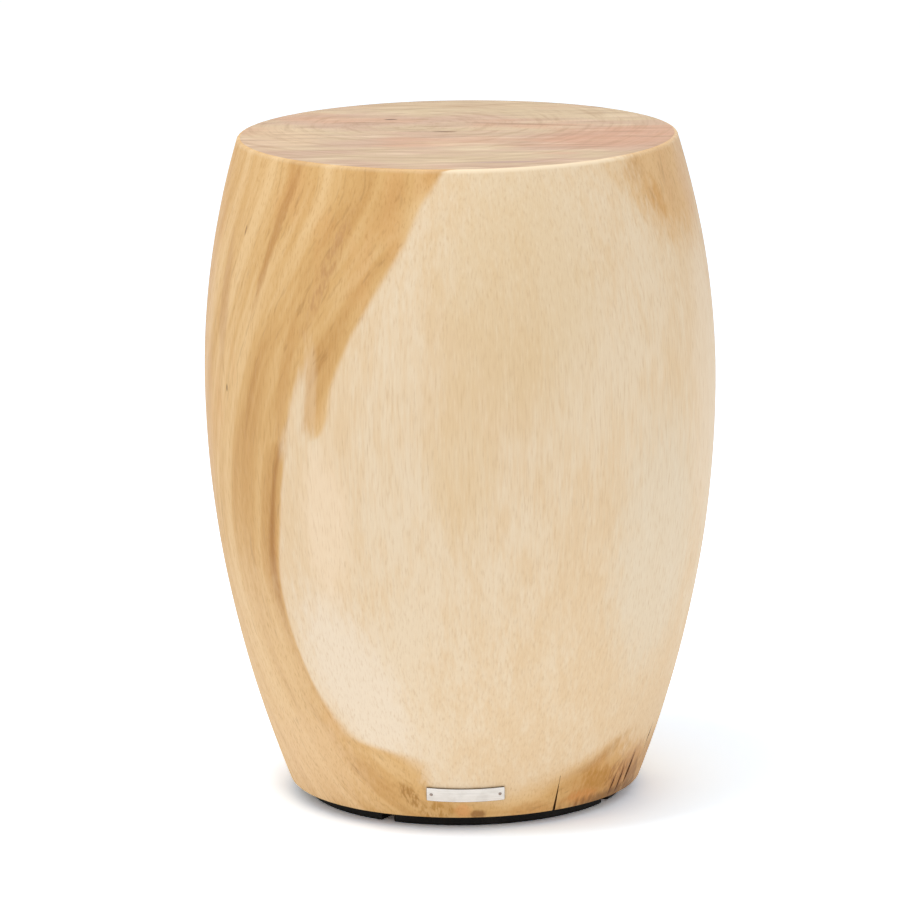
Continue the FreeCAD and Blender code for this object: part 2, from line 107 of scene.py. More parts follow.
class Graph:
    """Adds shader nodes to one tree, sets them and links them."""

    def __init__(self, tree: bpy.types.NodeTree) -> None:
        """Keeps the tree that the nodes go to."""
        self.tree = tree

    def node(self, kind: str, **settings: object) -> bpy.types.Node:
        """Adds one node.

        Args:
            kind: The node's type without its common beginning.
            **settings: Properties to set on it.

        Returns:
            The new node.
        """
        made = self.tree.nodes.new(f"ShaderNode{kind}")
        for name, value in settings.items():
            setattr(made, name, value)
        return made

    def feed(self, socket: Socket, value: Feed) -> None:
        """Links a socket to an input, or sets the input to a plain value."""
        if isinstance(value, bpy.types.NodeSocket):
            self.tree.links.new(value, socket)
        else:
            socket.default_value = value

    def filled(self, kind: str, values: Iterable[Feed], **settings: object) -> bpy.types.Node:
        """Adds one node and feeds its inputs.

        Args:
            kind: The node's type without its common beginning.
            values: What its inputs take, in their order.
            **settings: Properties to set on it.

        Returns:
            The new node.
        """
        made = self.node(kind, **settings)
        for socket, value in zip(made.inputs, values):
            self.feed(socket, value)
        return made

    def math(self, operation: str, *values: Feed) -> Socket:
        """Works out one number from up to three."""
        return self.filled("Math", values, operation=operation).outputs["Value"]

    def vector(self, operation: str, *values: Feed) -> Socket:
        """Works out a vector from up to three."""
        return self.filled("VectorMath", values, operation=operation).outputs["Vector"]

    def measure(self, operation: str, *values: Feed) -> Socket:
        """Works out a number, such as a length, from one or two vectors."""
        return self.filled("VectorMath", values, operation=operation).outputs["Value"]

    def axes(self, vector: Feed) -> Sequence[Socket]:
        """Splits a vector into its three numbers."""
        made = self.node("SeparateXYZ")
        self.feed(made.inputs["Vector"], vector)
        return made.outputs

    def joined(self, *numbers: Feed) -> Socket:
        """Joins three numbers into a vector."""
        return self.filled("CombineXYZ", numbers).outputs["Vector"]

    def cloud(self, place: Feed, detail: float = 2.0, fourth: Feed | None = None) -> Socket:
        """Gives smooth noise of one unit's size.

        Args:
            place: Where to read it, already stretched to size.
            detail: How many finer layers it has.
            fourth: A fourth coordinate, if it has one.

        Returns:
            A value of 0 to 1, mostly near a half.
        """
        made = self.node("TexNoise", noise_dimensions="3D" if fourth is None else "4D")
        self.feed(made.inputs["Vector"], place)
        self.feed(made.inputs["Scale"], 1.0)
        self.feed(made.inputs["Detail"], detail)
        if fourth is not None:
            self.feed(made.inputs["W"], fourth)
        return made.outputs["Fac"]

    def grain(self, place: Feed, stretch: Feed, detail: float = 2.0) -> Socket:
        """Gives smooth noise that is as fine along each axis as a stretch says."""
        return self.cloud(self.vector("MULTIPLY", place, stretch), detail)

    def step(self, value: Feed, low: Feed, high: Feed, first: Feed = 0.0, last: Feed = 1.0) -> Socket:
        """Maps a value smoothly from one range to another, and holds it at both ends.

        Args:
            value: What is mapped.
            low: The value that gives the first result. It may be above high.
            high: The value that gives the last result.
            first: The first result.
            last: The last result.

        Returns:
            The mapped value.
        """
        made = self.node("MapRange", interpolation_type="SMOOTHSTEP")
        names = ("Value", "From Min", "From Max", "To Min", "To Max")
        for name, feed in zip(names, (value, low, high, first, last)):
            self.feed(made.inputs[name], feed)
        return made.outputs["Result"]

    def mix(self, share: Feed, first: Feed, second: Feed) -> Socket:
        """Mixes two colours.

        Args:
            share: How much of the second colour is taken.
            first: The first colour.
            second: The second colour.

        Returns:
            The mixed colour.
        """
        made = self.node("Mix", data_type="RGBA")
        inputs = {socket.identifier: socket for socket in made.inputs}
        for name, value in (("Factor_Float", share), ("A_Color", first), ("B_Color", second)):
            self.feed(inputs[name], value)
        return next(socket for socket in made.outputs if socket.identifier == "Result_Color")

    def lay(self, colour: Feed, tone: Feed, mask: Feed, share: Feed) -> Socket:
        """Lays a tone over a colour.

        Args:
            colour: The colour below.
            tone: What is laid over it.
            mask: Where the tone is.
            share: How strong it is there.

        Returns:
            The new colour.
        """
        return self.mix(self.math("MULTIPLY", mask, share), colour, tone)

    def ramp(self, share: Feed, *stops: tuple[float, Colour]) -> Socket:
        """Runs through colours along a value.

        Args:
            share: The value, 0 to 1.
            *stops: Each colour with its place on the ramp, in rising order.

        Returns:
            The colour at the value.
        """
        made = self.node("ValToRGB")
        elements = made.color_ramp.elements
        elements.remove(elements[-1])
        elements[0].position, elements[0].color = stops[0]
        for position, colour in stops[1:]:
            elements.new(position).color = colour
        self.feed(made.inputs["Fac"], share)
        return made.outputs["Color"]

    def curve(self, share: Feed, points: Sequence[tuple[float, float]]) -> Socket:
        """Follows a drawn curve.

        Args:
            share: The value along the curve, 0 to 1.
            points: The curve's points in rising order, each coordinate 0 to 1.

        Returns:
            The curve's height at the value.
        """
        made = self.node("FloatCurve")
        drawn = made.mapping.curves[0].points
        drawn[0].location, drawn[-1].location = points[0], points[-1]
        for point in points[1:-1]:
            drawn.new(*point)
        made.mapping.update()
        self.feed(made.inputs["Value"], share)
        return made.outputs["Value"]


class Effect(ABC):
    """A shader node group with named inputs and outputs, built once and placed wherever it is used."""

    name: ClassVar[str]
    takes: ClassVar[dict[str, SocketKind]]
    gives: ClassVar[dict[str, SocketKind]]

    @abstractmethod
    def wire(self, graph: Graph, given: Sequence[Socket]) -> dict[str, Socket]:
        """Wires the group.

        Args:
            graph: The group's own nodes.
            given: Its inputs, by name.

        Returns:
            What each output is linked to.
        """

    def tree(self) -> bpy.types.NodeTree:
        """Gives the group, which is built the first time."""
        if self.name in bpy.data.node_groups:
            return bpy.data.node_groups[self.name]
        tree = bpy.data.node_groups.new(self.name, "ShaderNodeTree")
        for way, sockets in (("INPUT", self.takes), ("OUTPUT", self.gives)):
            for label, kind in sockets.items():
                tree.interface.new_socket(label, in_out=way, socket_type=kind.value)
        given = tree.nodes.new("NodeGroupInput").outputs
        result = tree.nodes.new("NodeGroupOutput").inputs
        for label, socket in self.wire(Graph(tree), given).items():
            tree.links.new(socket, result[label])
        return tree

    def place(self, graph: Graph, feeds: dict[str, Feed]) -> Sequence[Socket]:
        """Places the group in a material or in another group.

        Args:
            graph: Where it goes.
            feeds: What its inputs take, by name.

        Returns:
            Its outputs, by name.
        """
        made = graph.node("Group", node_tree=self.tree())
        for label, value in feeds.items():
            graph.feed(made.inputs[label], value)
        return made.outputs


class Unevenness(Effect):
    """How the rims of spots wander along the grain, and where spots break up into flecks."""

    name = "unevenness"
    takes = {"Place": SocketKind.PLACE}
    gives = {"Wander": SocketKind.VALUE, "Flecks": SocketKind.VALUE}
    wander_stretch: ClassVar[Triple] = (260.0, 260.0, 60.0)
    fleck_stretch: ClassVar[Triple] = (520.0, 520.0, 85.0)

    def wire(self, graph: Graph, given: Sequence[Socket]) -> dict[str, Socket]:
        """Stretches two kinds of noise along the log."""
        wander = graph.grain(given["Place"], self.wander_stretch)
        flecks = graph.grain(given["Place"], self.fleck_stretch)
        return {"Wander": graph.math("SUBTRACT", wander, 0.5), "Flecks": graph.step(flecks, 0.62, 0.4)}


class SoftSpot(Effect):
    """A soft-edged oval on the log's surface, such as a tinted patch, a patch of painted shade or a tongue of
    darker wood.
    """

    name = "soft_spot"
    takes = {
        "Place": SocketKind.PLACE,
        "Centre": SocketKind.PLACE,
        "Across": SocketKind.PLACE,
        "Radii": SocketKind.PLACE,
        "Lean": SocketKind.VALUE,
        "Ragged": SocketKind.VALUE,
        "Broken": SocketKind.VALUE,
        "Wander": SocketKind.VALUE,
        "Flecks": SocketKind.VALUE,
    }
    gives = {"Mask": SocketKind.VALUE}
    core_share: ClassVar[float] = 0.4

    def wire(self, graph: Graph, given: Sequence[Socket]) -> dict[str, Socket]:
        """Measures the place in the oval's own axes and fades it out towards the rim."""
        offset = graph.vector("SUBTRACT", given["Place"], given["Centre"])
        # A product in place of a split vector lets the renderer finish one spot before it starts the next.
        height = graph.measure("DOT_PRODUCT", offset, UP)
        along = graph.measure("DOT_PRODUCT", offset, given["Across"])
        leant = graph.math("SUBTRACT", along, graph.math("MULTIPLY", height, given["Lean"]))
        deep = graph.measure("DOT_PRODUCT", offset, graph.vector("CROSS_PRODUCT", given["Across"], UP))
        spoke = graph.joined(leant, deep, height)
        reach = graph.measure("LENGTH", graph.vector("DIVIDE", spoke, given["Radii"]))
        ragged = graph.math("MULTIPLY_ADD", given["Wander"], given["Ragged"], reach)
        gap = graph.math("MULTIPLY", given["Flecks"], given["Broken"])
        whole = graph.step(ragged, 1.0, self.core_share)
        return {"Mask": graph.math("MULTIPLY", whole, graph.math("SUBTRACT", 1.0, gap))}


@dataclass(frozen=True)
class LogProfile:
    """The turned log's half outline: two bows that stand upright at the belly, and two eased edges."""

    belly_radius: float
    foot_height: float
    top_height: float
    belly_height: float = 286 * MM
    rim_inset: float = 24.5 * MM
    foot_inset: float = 53 * MM
    rim_round: float = 2.5 * MM
    foot_round: float = 1.5 * MM

    @property
    def rim_lean(self) -> float:
        """The shoulder's lean from upright where it meets the rim, in radians."""
        return math.atan(2 * self.rim_inset / (self.top_height - self.rim_round - self.belly_height))

    @property
    def foot_lean(self) -> float:
        """The flank's lean from upright where it meets the foot's edge, in radians."""
        return math.atan(2 * self.foot_inset / (self.belly_height - self.foot_height - self.foot_round))

    @property
    def shoulder_top(self) -> float:
        """The height where the rim's easing begins."""
        return self.top_height - self.rim_round * (1 - math.sin(self.rim_lean))

    @property
    def flank_foot(self) -> float:
        """The height where the foot's easing ends."""
        return self.foot_height + self.foot_round * (1 - math.sin(self.foot_lean))

    @property
    def top_flat_radius(self) -> float:
        """The flat top's radius, inside the easing."""
        return self.belly_radius - self.rim_inset - self.rim_round * math.cos(self.rim_lean)

    @property
    def foot_flat_radius(self) -> float:
        """The flat underside's radius, inside the easing."""
        return self.belly_radius - self.foot_inset - self.foot_round * math.cos(self.foot_lean)

    def radius_at(self, height: float) -> float:
        """Gives the flank's or the shoulder's radius at a height."""
        if height < self.belly_height:
            share = (self.belly_height - height) / (self.belly_height - self.flank_foot)
            return self.belly_radius - self.foot_inset * share**2
        share = (height - self.belly_height) / (self.shoulder_top - self.belly_height)
        return self.belly_radius - self.rim_inset * share**2

    def lean_at(self, height: float) -> float:
        """Gives the flank's lean below the belly, in radians: how far it faces down."""
        drop = self.belly_height - self.flank_foot
        return math.atan(2 * self.foot_inset * (self.belly_height - height) / drop**2)

    def on_flank(self, heading_deg: float, height: float) -> Vector:
        """Gives the point of the flank at a heading and a height."""
        return outward(heading_deg) * self.radius_at(height) + UP * height


class Spot(ABC):
    """A soft oval on the log."""

    ragged: float
    broken: float

    @abstractmethod
    def oval(self, profile: LogProfile) -> dict[str, Feed]:
        """Gives where the oval lies.

        Args:
            profile: The log's outline, which the oval lies on.

        Returns:
            Its centre, direction, radii and lean, by the names of a soft spot's inputs.
        """

    def mask(self, graph: Graph, profile: LogProfile, place: Feed, uneven: Sequence[Socket]) -> Socket:
        """Places the oval in a graph.

        Args:
            graph: Where it goes.
            profile: The log's outline, which the oval lies on.
            place: The place that is shaded.
            uneven: The unevenness group's outputs.

        Returns:
            The mask, 1 in the oval's middle.
        """
        feeds = {"Place": place, **self.oval(profile), "Ragged": self.ragged, "Broken": self.broken}
        feeds |= {name: uneven[name] for name in Unevenness.gives}
        return SoftSpot().place(graph, feeds)["Mask"]


@dataclass(frozen=True)
class Patch(Spot):
    """A soft oval on the log's flank."""

    heading_deg: float
    height: float
    half_width: float
    half_height: float
    lean_deg: float = 0.0
    ragged: float = 0.3
    broken: float = 0.0
    half_depth: ClassVar[float] = 160 * MM

    def oval(self, profile: LogProfile) -> dict[str, Feed]:
        """Gives where the oval lies on the flank."""
        return {
            "Centre": profile.on_flank(self.heading_deg, self.height),
            "Across": outward(self.heading_deg + 90),
            "Radii": (self.half_width, self.half_depth, self.half_height),
            "Lean": math.tan(math.radians(self.lean_deg)),
        }


@dataclass(frozen=True)
class StainOrShade(Patch):
    """A soft oval of another colour: a tint, a mark, or a patch of painted shade."""

    colour: Colour = paint(160, 110, 60)
    strength: float = 0.5


@dataclass(frozen=True)
class TopMark(Spot):
    """A soft oval on the log's top, such as a pore line or a patch of another tint."""

    x: float
    y: float
    half_length: float
    half_breadth: float
    turn_deg: float
    colour: Colour
    strength: float
    ragged: float = 0.4
    broken: float = 0.0
    half_height: ClassVar[float] = 20 * MM

    def oval(self, profile: LogProfile) -> dict[str, Feed]:
        """Gives where the oval lies on the top."""
        turn = math.radians(self.turn_deg)
        return {
            "Centre": (self.x, self.y, profile.top_height),
            "Across": (math.cos(turn), math.sin(turn), 0.0),
            "Radii": (self.half_length, self.half_breadth, self.half_height),
            "Lean": 0.0,
        }


Mark = StainOrShade | TopMark


@dataclass(frozen=True)
class Growth(Effect):
    """How the tree grew: its rings about a slanted pith, and the brown heartwood inside the pale sapwood."""

    profile: LogProfile
    pith_foot: Triple = (-17.6 * MM, 83.3 * MM, 0.0)
    pith_top: Triple = (-29.4 * MM, 40.7 * MM, 0.0)
    heart_radius: float = 204.6 * MM
    heart_swing: float = 20 * MM
    bend: float = 4 * MM
    streak_bend: float = 0.7 * MM
    foot_blur: float = 3.0 * MM
    blur: float = 0.6 * MM

    name = "growth"
    takes = {"Place": SocketKind.PLACE}
    gives = {
        "Heart": SocketKind.VALUE,
        "Edge": SocketKind.VALUE,
        "Band": SocketKind.VALUE,
        "Streak": SocketKind.VALUE,
        "Dash": SocketKind.VALUE,
    }
    # The heartwood's radius over the log's height, both as shares. A half is the radius without a swing.
    heart_curve_shares: ClassVar[tuple[tuple[float, float], ...]] = (
        (0.0, 0.55),
        (0.11, 0.59),
        (0.15, 0.42),
        (0.33, 0.435),
        (0.47, 0.545),
        (0.58, 0.6),
        (0.615, 0.73),
        (0.69, 0.69),
        (0.75, 0.64),
        (0.86, 0.465),
        (0.95, 0.24),
        (1.0, 0.10),
    )
    # The same for the streaks, which pass behind the tongue of heartwood without its step.
    grain_curve_shares: ClassVar[tuple[tuple[float, float], ...]] = (
        (0.0, 0.52),
        (0.2, 0.42),
        (0.36, 0.43),
        (0.55, 0.56),
        (0.7, 0.6),
        (0.86, 0.465),
        (1.0, 0.10),
    )
    # Patches of sapwood in the heartwood, and then of heartwood in the sapwood.
    sap_patches: ClassVar[tuple[Patch, ...]] = (
        Patch(-38.8, 284 * MM, 9 * MM, 46 * MM, lean_deg=10),
        Patch(-37, 257 * MM, 24 * MM, 31 * MM, lean_deg=-8, ragged=0.5),
        Patch(94, 240 * MM, 125 * MM, 270 * MM, ragged=0.4),
        Patch(66, 88 * MM, 74 * MM, 70 * MM, ragged=0.6),
        Patch(-4, 39 * MM, 24 * MM, 16 * MM, ragged=0.6),
    )
    heart_patches: ClassVar[tuple[Patch, ...]] = (
        Patch(65, 434 * MM, 66 * MM, 66 * MM, lean_deg=-16, ragged=0.7),
    )
    bend_stretch: ClassVar[Triple] = (14, 14, 6)
    streak_bend_stretch: ClassVar[Triple] = (110, 110, 5)
    # The figure's layers: each name, how fine it is across the rings and along the log, and its detail.
    layers: ClassVar[tuple[tuple[str, float, float, int], ...]] = (
        ("Band", 170, 2.0, 2),
        ("Streak", 640, 9, 3),
        ("Dash", 1500, 34, 1),
    )

    def limit(self, graph: Graph, climb: Socket, shares: Sequence[tuple[float, float]]) -> Socket:
        """Gives the heartwood's warped radius along one of the curves.

        Args:
            graph: The group's nodes.
            climb: The height, as a share of the log's.
            shares: The curve.

        Returns:
            The radius.
        """
        swing = graph.math("SUBTRACT", graph.curve(climb, shares), 0.5)
        mean_warp = (self.bend + self.streak_bend) / 2
        return graph.math("MULTIPLY_ADD", swing, 2 * self.heart_swing, self.heart_radius + mean_warp)

    def wire(self, graph: Graph, given: Sequence[Socket]) -> dict[str, Socket]:
        """Measures the distance from the pith, warps it and compares it with the heartwood's radius."""
        place = given["Place"]
        climb = graph.math("DIVIDE", graph.axes(place)["Z"], self.profile.top_height)
        span = Vector(self.pith_top) - Vector(self.pith_foot)
        pith = graph.vector("MULTIPLY_ADD", climb, span, self.pith_foot)
        spoke = graph.vector("MULTIPLY", graph.vector("SUBTRACT", place, pith), (1, 1, 0))
        bend = graph.grain(place, self.bend_stretch)
        streak_bend = graph.grain(place, self.streak_bend_stretch, detail=3)
        fine_warp = graph.math("MULTIPLY", streak_bend, self.streak_bend)
        warp = graph.math("MULTIPLY_ADD", bend, self.bend, fine_warp)
        ring = graph.math("ADD", graph.measure("LENGTH", spoke), warp)
        edge = graph.math("SUBTRACT", self.limit(graph, climb, self.heart_curve_shares), ring)
        soft = graph.step(climb, 0.1, 0.24, self.foot_blur, self.blur)
        heart = graph.step(edge, graph.math("MULTIPLY", soft, -1), soft)
        uneven = Unevenness().place(graph, {"Place": place})
        for patch in self.sap_patches:
            kept = graph.math("SUBTRACT", 1.0, patch.mask(graph, self.profile, place, uneven))
            heart = graph.math("MULTIPLY", heart, kept)
        for patch in self.heart_patches:
            heart = graph.math("MAXIMUM", heart, patch.mask(graph, self.profile, place, uneven))
        depth = graph.math("SUBTRACT", self.limit(graph, climb, self.grain_curve_shares), ring)
        way = graph.vector("NORMALIZE", spoke)
        result = {"Heart": heart, "Edge": edge}
        for name, across, along, detail in self.layers:
            turned = graph.vector("MULTIPLY", way, (along, along, 0))
            stretched = graph.vector("MULTIPLY_ADD", place, (0, 0, along), turned)
            result[name] = graph.cloud(stretched, detail, graph.math("MULTIPLY", depth, across))
        return result


class Fibre(Effect):
    """Fine fibres and open pores along the log: dashes on the flank, and dots on the end grain."""

    name = "fibre"
    takes = {"Place": SocketKind.PLACE}
    gives = {"Fibre": SocketKind.VALUE, "Pore": SocketKind.VALUE, "Relief": SocketKind.VALUE}
    fibre_stretch: ClassVar[Triple] = (900.0, 900.0, 80.0)
    pore_stretch: ClassVar[Triple] = (560.0, 560.0, 85.0)

    def wire(self, graph: Graph, given: Sequence[Socket]) -> dict[str, Socket]:
        """Stretches noise and cells along the log."""
        fibre = graph.grain(given["Place"], self.fibre_stretch, detail=3)
        cells = graph.node("TexVoronoi", feature="F1", distance="EUCLIDEAN")
        graph.feed(cells.inputs["Vector"], graph.vector("MULTIPLY", given["Place"], self.pore_stretch))
        graph.feed(cells.inputs["Scale"], 1.0)
        spread = graph.axes(cells.outputs["Color"])["X"]
        size = graph.step(spread, 0.35, 1.0, 0.0, 0.3)
        pore = graph.step(cells.outputs["Distance"], size, graph.math("MULTIPLY", size, 0.5))
        relief = graph.math("SUBTRACT", fibre, graph.math("MULTIPLY", pore, 0.9))
        return {"Fibre": fibre, "Pore": pore, "Relief": relief}


class RimWearAndHighlight(Effect):
    """The pale band along the eased rim: partly paler, worn wood and partly a painted highlight where the
    easing catches the light.
    """

    name = "rim_wear_and_highlight"
    takes = {"Place": SocketKind.PLACE, "Rim radius": SocketKind.VALUE, "Rim height": SocketKind.VALUE}
    gives = {"Mask": SocketKind.VALUE}
    reach: ClassVar[float] = 2.2 * MM
    ragged_depth: ClassVar[float] = 1 * MM
    ragged_stretch: ClassVar[Triple] = (90, 90, 90)

    def wire(self, graph: Graph, given: Sequence[Socket]) -> dict[str, Socket]:
        """Measures the distance from the rim's circle."""
        across = graph.measure("LENGTH", graph.vector("MULTIPLY", given["Place"], (1, 1, 0)))
        out = graph.math("SUBTRACT", across, given["Rim radius"])
        rise = graph.math("SUBTRACT", graph.axes(given["Place"])["Z"], given["Rim height"])
        reach = graph.measure("LENGTH", graph.joined(out, rise, 0.0))
        worn = graph.grain(given["Place"], self.ragged_stretch)
        uneven = graph.math("MULTIPLY_ADD", worn, -self.ragged_depth, reach)
        return {"Mask": graph.step(uneven, self.reach, 0.0)}


class Brushing(Effect):
    """Fine straight scratches, in a direction given by how far each axis is stretched."""

    name = "brushing"
    takes = {"Place": SocketKind.PLACE, "Stretch": SocketKind.PLACE}
    gives = {"Scratch": SocketKind.VALUE}

    def wire(self, graph: Graph, given: Sequence[Socket]) -> dict[str, Socket]:
        """Stretches noise along the scratches."""
        return {"Scratch": graph.grain(given["Place"], given["Stretch"], detail=4)}


class Smudge(Effect):
    """Cloudy traces of handling, dust and tarnish."""

    name = "smudge"
    takes = {"Place": SocketKind.PLACE, "Size": SocketKind.VALUE}
    gives = {"Mask": SocketKind.VALUE}

    def wire(self, graph: Graph, given: Sequence[Socket]) -> dict[str, Socket]:
        """Cuts soft patches out of noise."""
        scaled = graph.vector("DIVIDE", given["Place"], given["Size"])
        return {"Mask": graph.step(graph.cloud(scaled, detail=4), 0.42, 0.68)}


@dataclass(frozen=True)
class Dressing:
    """A new material with its graph, its main shader and the place that is shaded."""

    material: bpy.types.Material
    graph: Graph
    shader: bpy.types.Node
    place: Socket

    def set(self, **sockets: Feed) -> None:
        """Feeds the shader's sockets, whose names are written with underscores."""
        for name, value in sockets.items():
            words = name.replace("_", " ")
            socket = next(socket for socket in self.shader.inputs if socket.name.lower() == words)
            self.graph.feed(socket, value)

    def raise_relief(self, height: Feed, depth: float, strength: float) -> None:
        """Bends the shading by a relief of a given depth."""
        bump = self.graph.node("Bump")
        for name, value in (("Height", height), ("Distance", depth), ("Strength", strength)):
            self.graph.feed(bump.inputs[name], value)
        self.set(normal=bump.outputs["Normal"])


class Finish(ABC):
    """A surface's finish, which makes one material."""

    def begin(self, name: str) -> Dressing:
        """Starts the finish's material."""
        material = bpy.data.materials.new(name)
        material.use_nodes = True
        graph = Graph(material.node_tree)
        shader = material.node_tree.nodes["Principled BSDF"]
        return Dressing(material, graph, shader, graph.node("TexCoord").outputs["Object"])

    @abstractmethod
    def material(self) -> bpy.types.Material:
        """Makes the material."""


class StainedAndShaded(Finish):
    """A finish of the log, with tinted marks, some of them painted shade, and a rim paled by wear and by a
    painted highlight.
    """

    profile: LogProfile
    rim: Colour
    rim_share: float
    heart_rim_share: float

    def stained_and_shaded(
        self, dressing: Dressing, colour: Socket, uneven: Sequence[Socket], laid_marks: Iterable[Mark]
    ) -> Socket:
        """Lays tinted marks and patches of painted shade over a colour.

        Args:
            dressing: The material.
            colour: The colour below.
            uneven: The unevenness group's outputs.
            laid_marks: The tinted marks and patches of painted shade, from the lowest up.

        Returns:
            The colour with the marks laid on.
        """
        graph = dressing.graph
        for laid_mark in laid_marks:
            mask = laid_mark.mask(graph, self.profile, dressing.place, uneven)
            colour = graph.lay(colour, laid_mark.colour, mask, laid_mark.strength)
        return colour

    def rim_worn_and_lit(self, dressing: Dressing, colour: Socket, heart: Socket) -> Socket:
        """Pales a colour along the rim's circle, in the middle of its easing: partly wear and partly a painted
        highlight.

        Args:
            dressing: The material.
            colour: The colour below.
            heart: How much of the wood is heartwood, which pales less.

        Returns:
            The colour, paled by wear and by the painted highlight.
        """
        graph, outline = dressing.graph, self.profile
        slant = outline.rim_round * math.sqrt(0.5)
        feeds = {
            "Place": dressing.place,
            "Rim radius": outline.top_flat_radius + slant,
            "Rim height": outline.top_height - outline.rim_round + slant,
        }
        mask = RimWearAndHighlight().place(graph, feeds)["Mask"]
        share = graph.step(heart, 0.0, 1.0, self.rim_share, self.heart_rim_share)
        return graph.lay(colour, self.rim, mask, share)


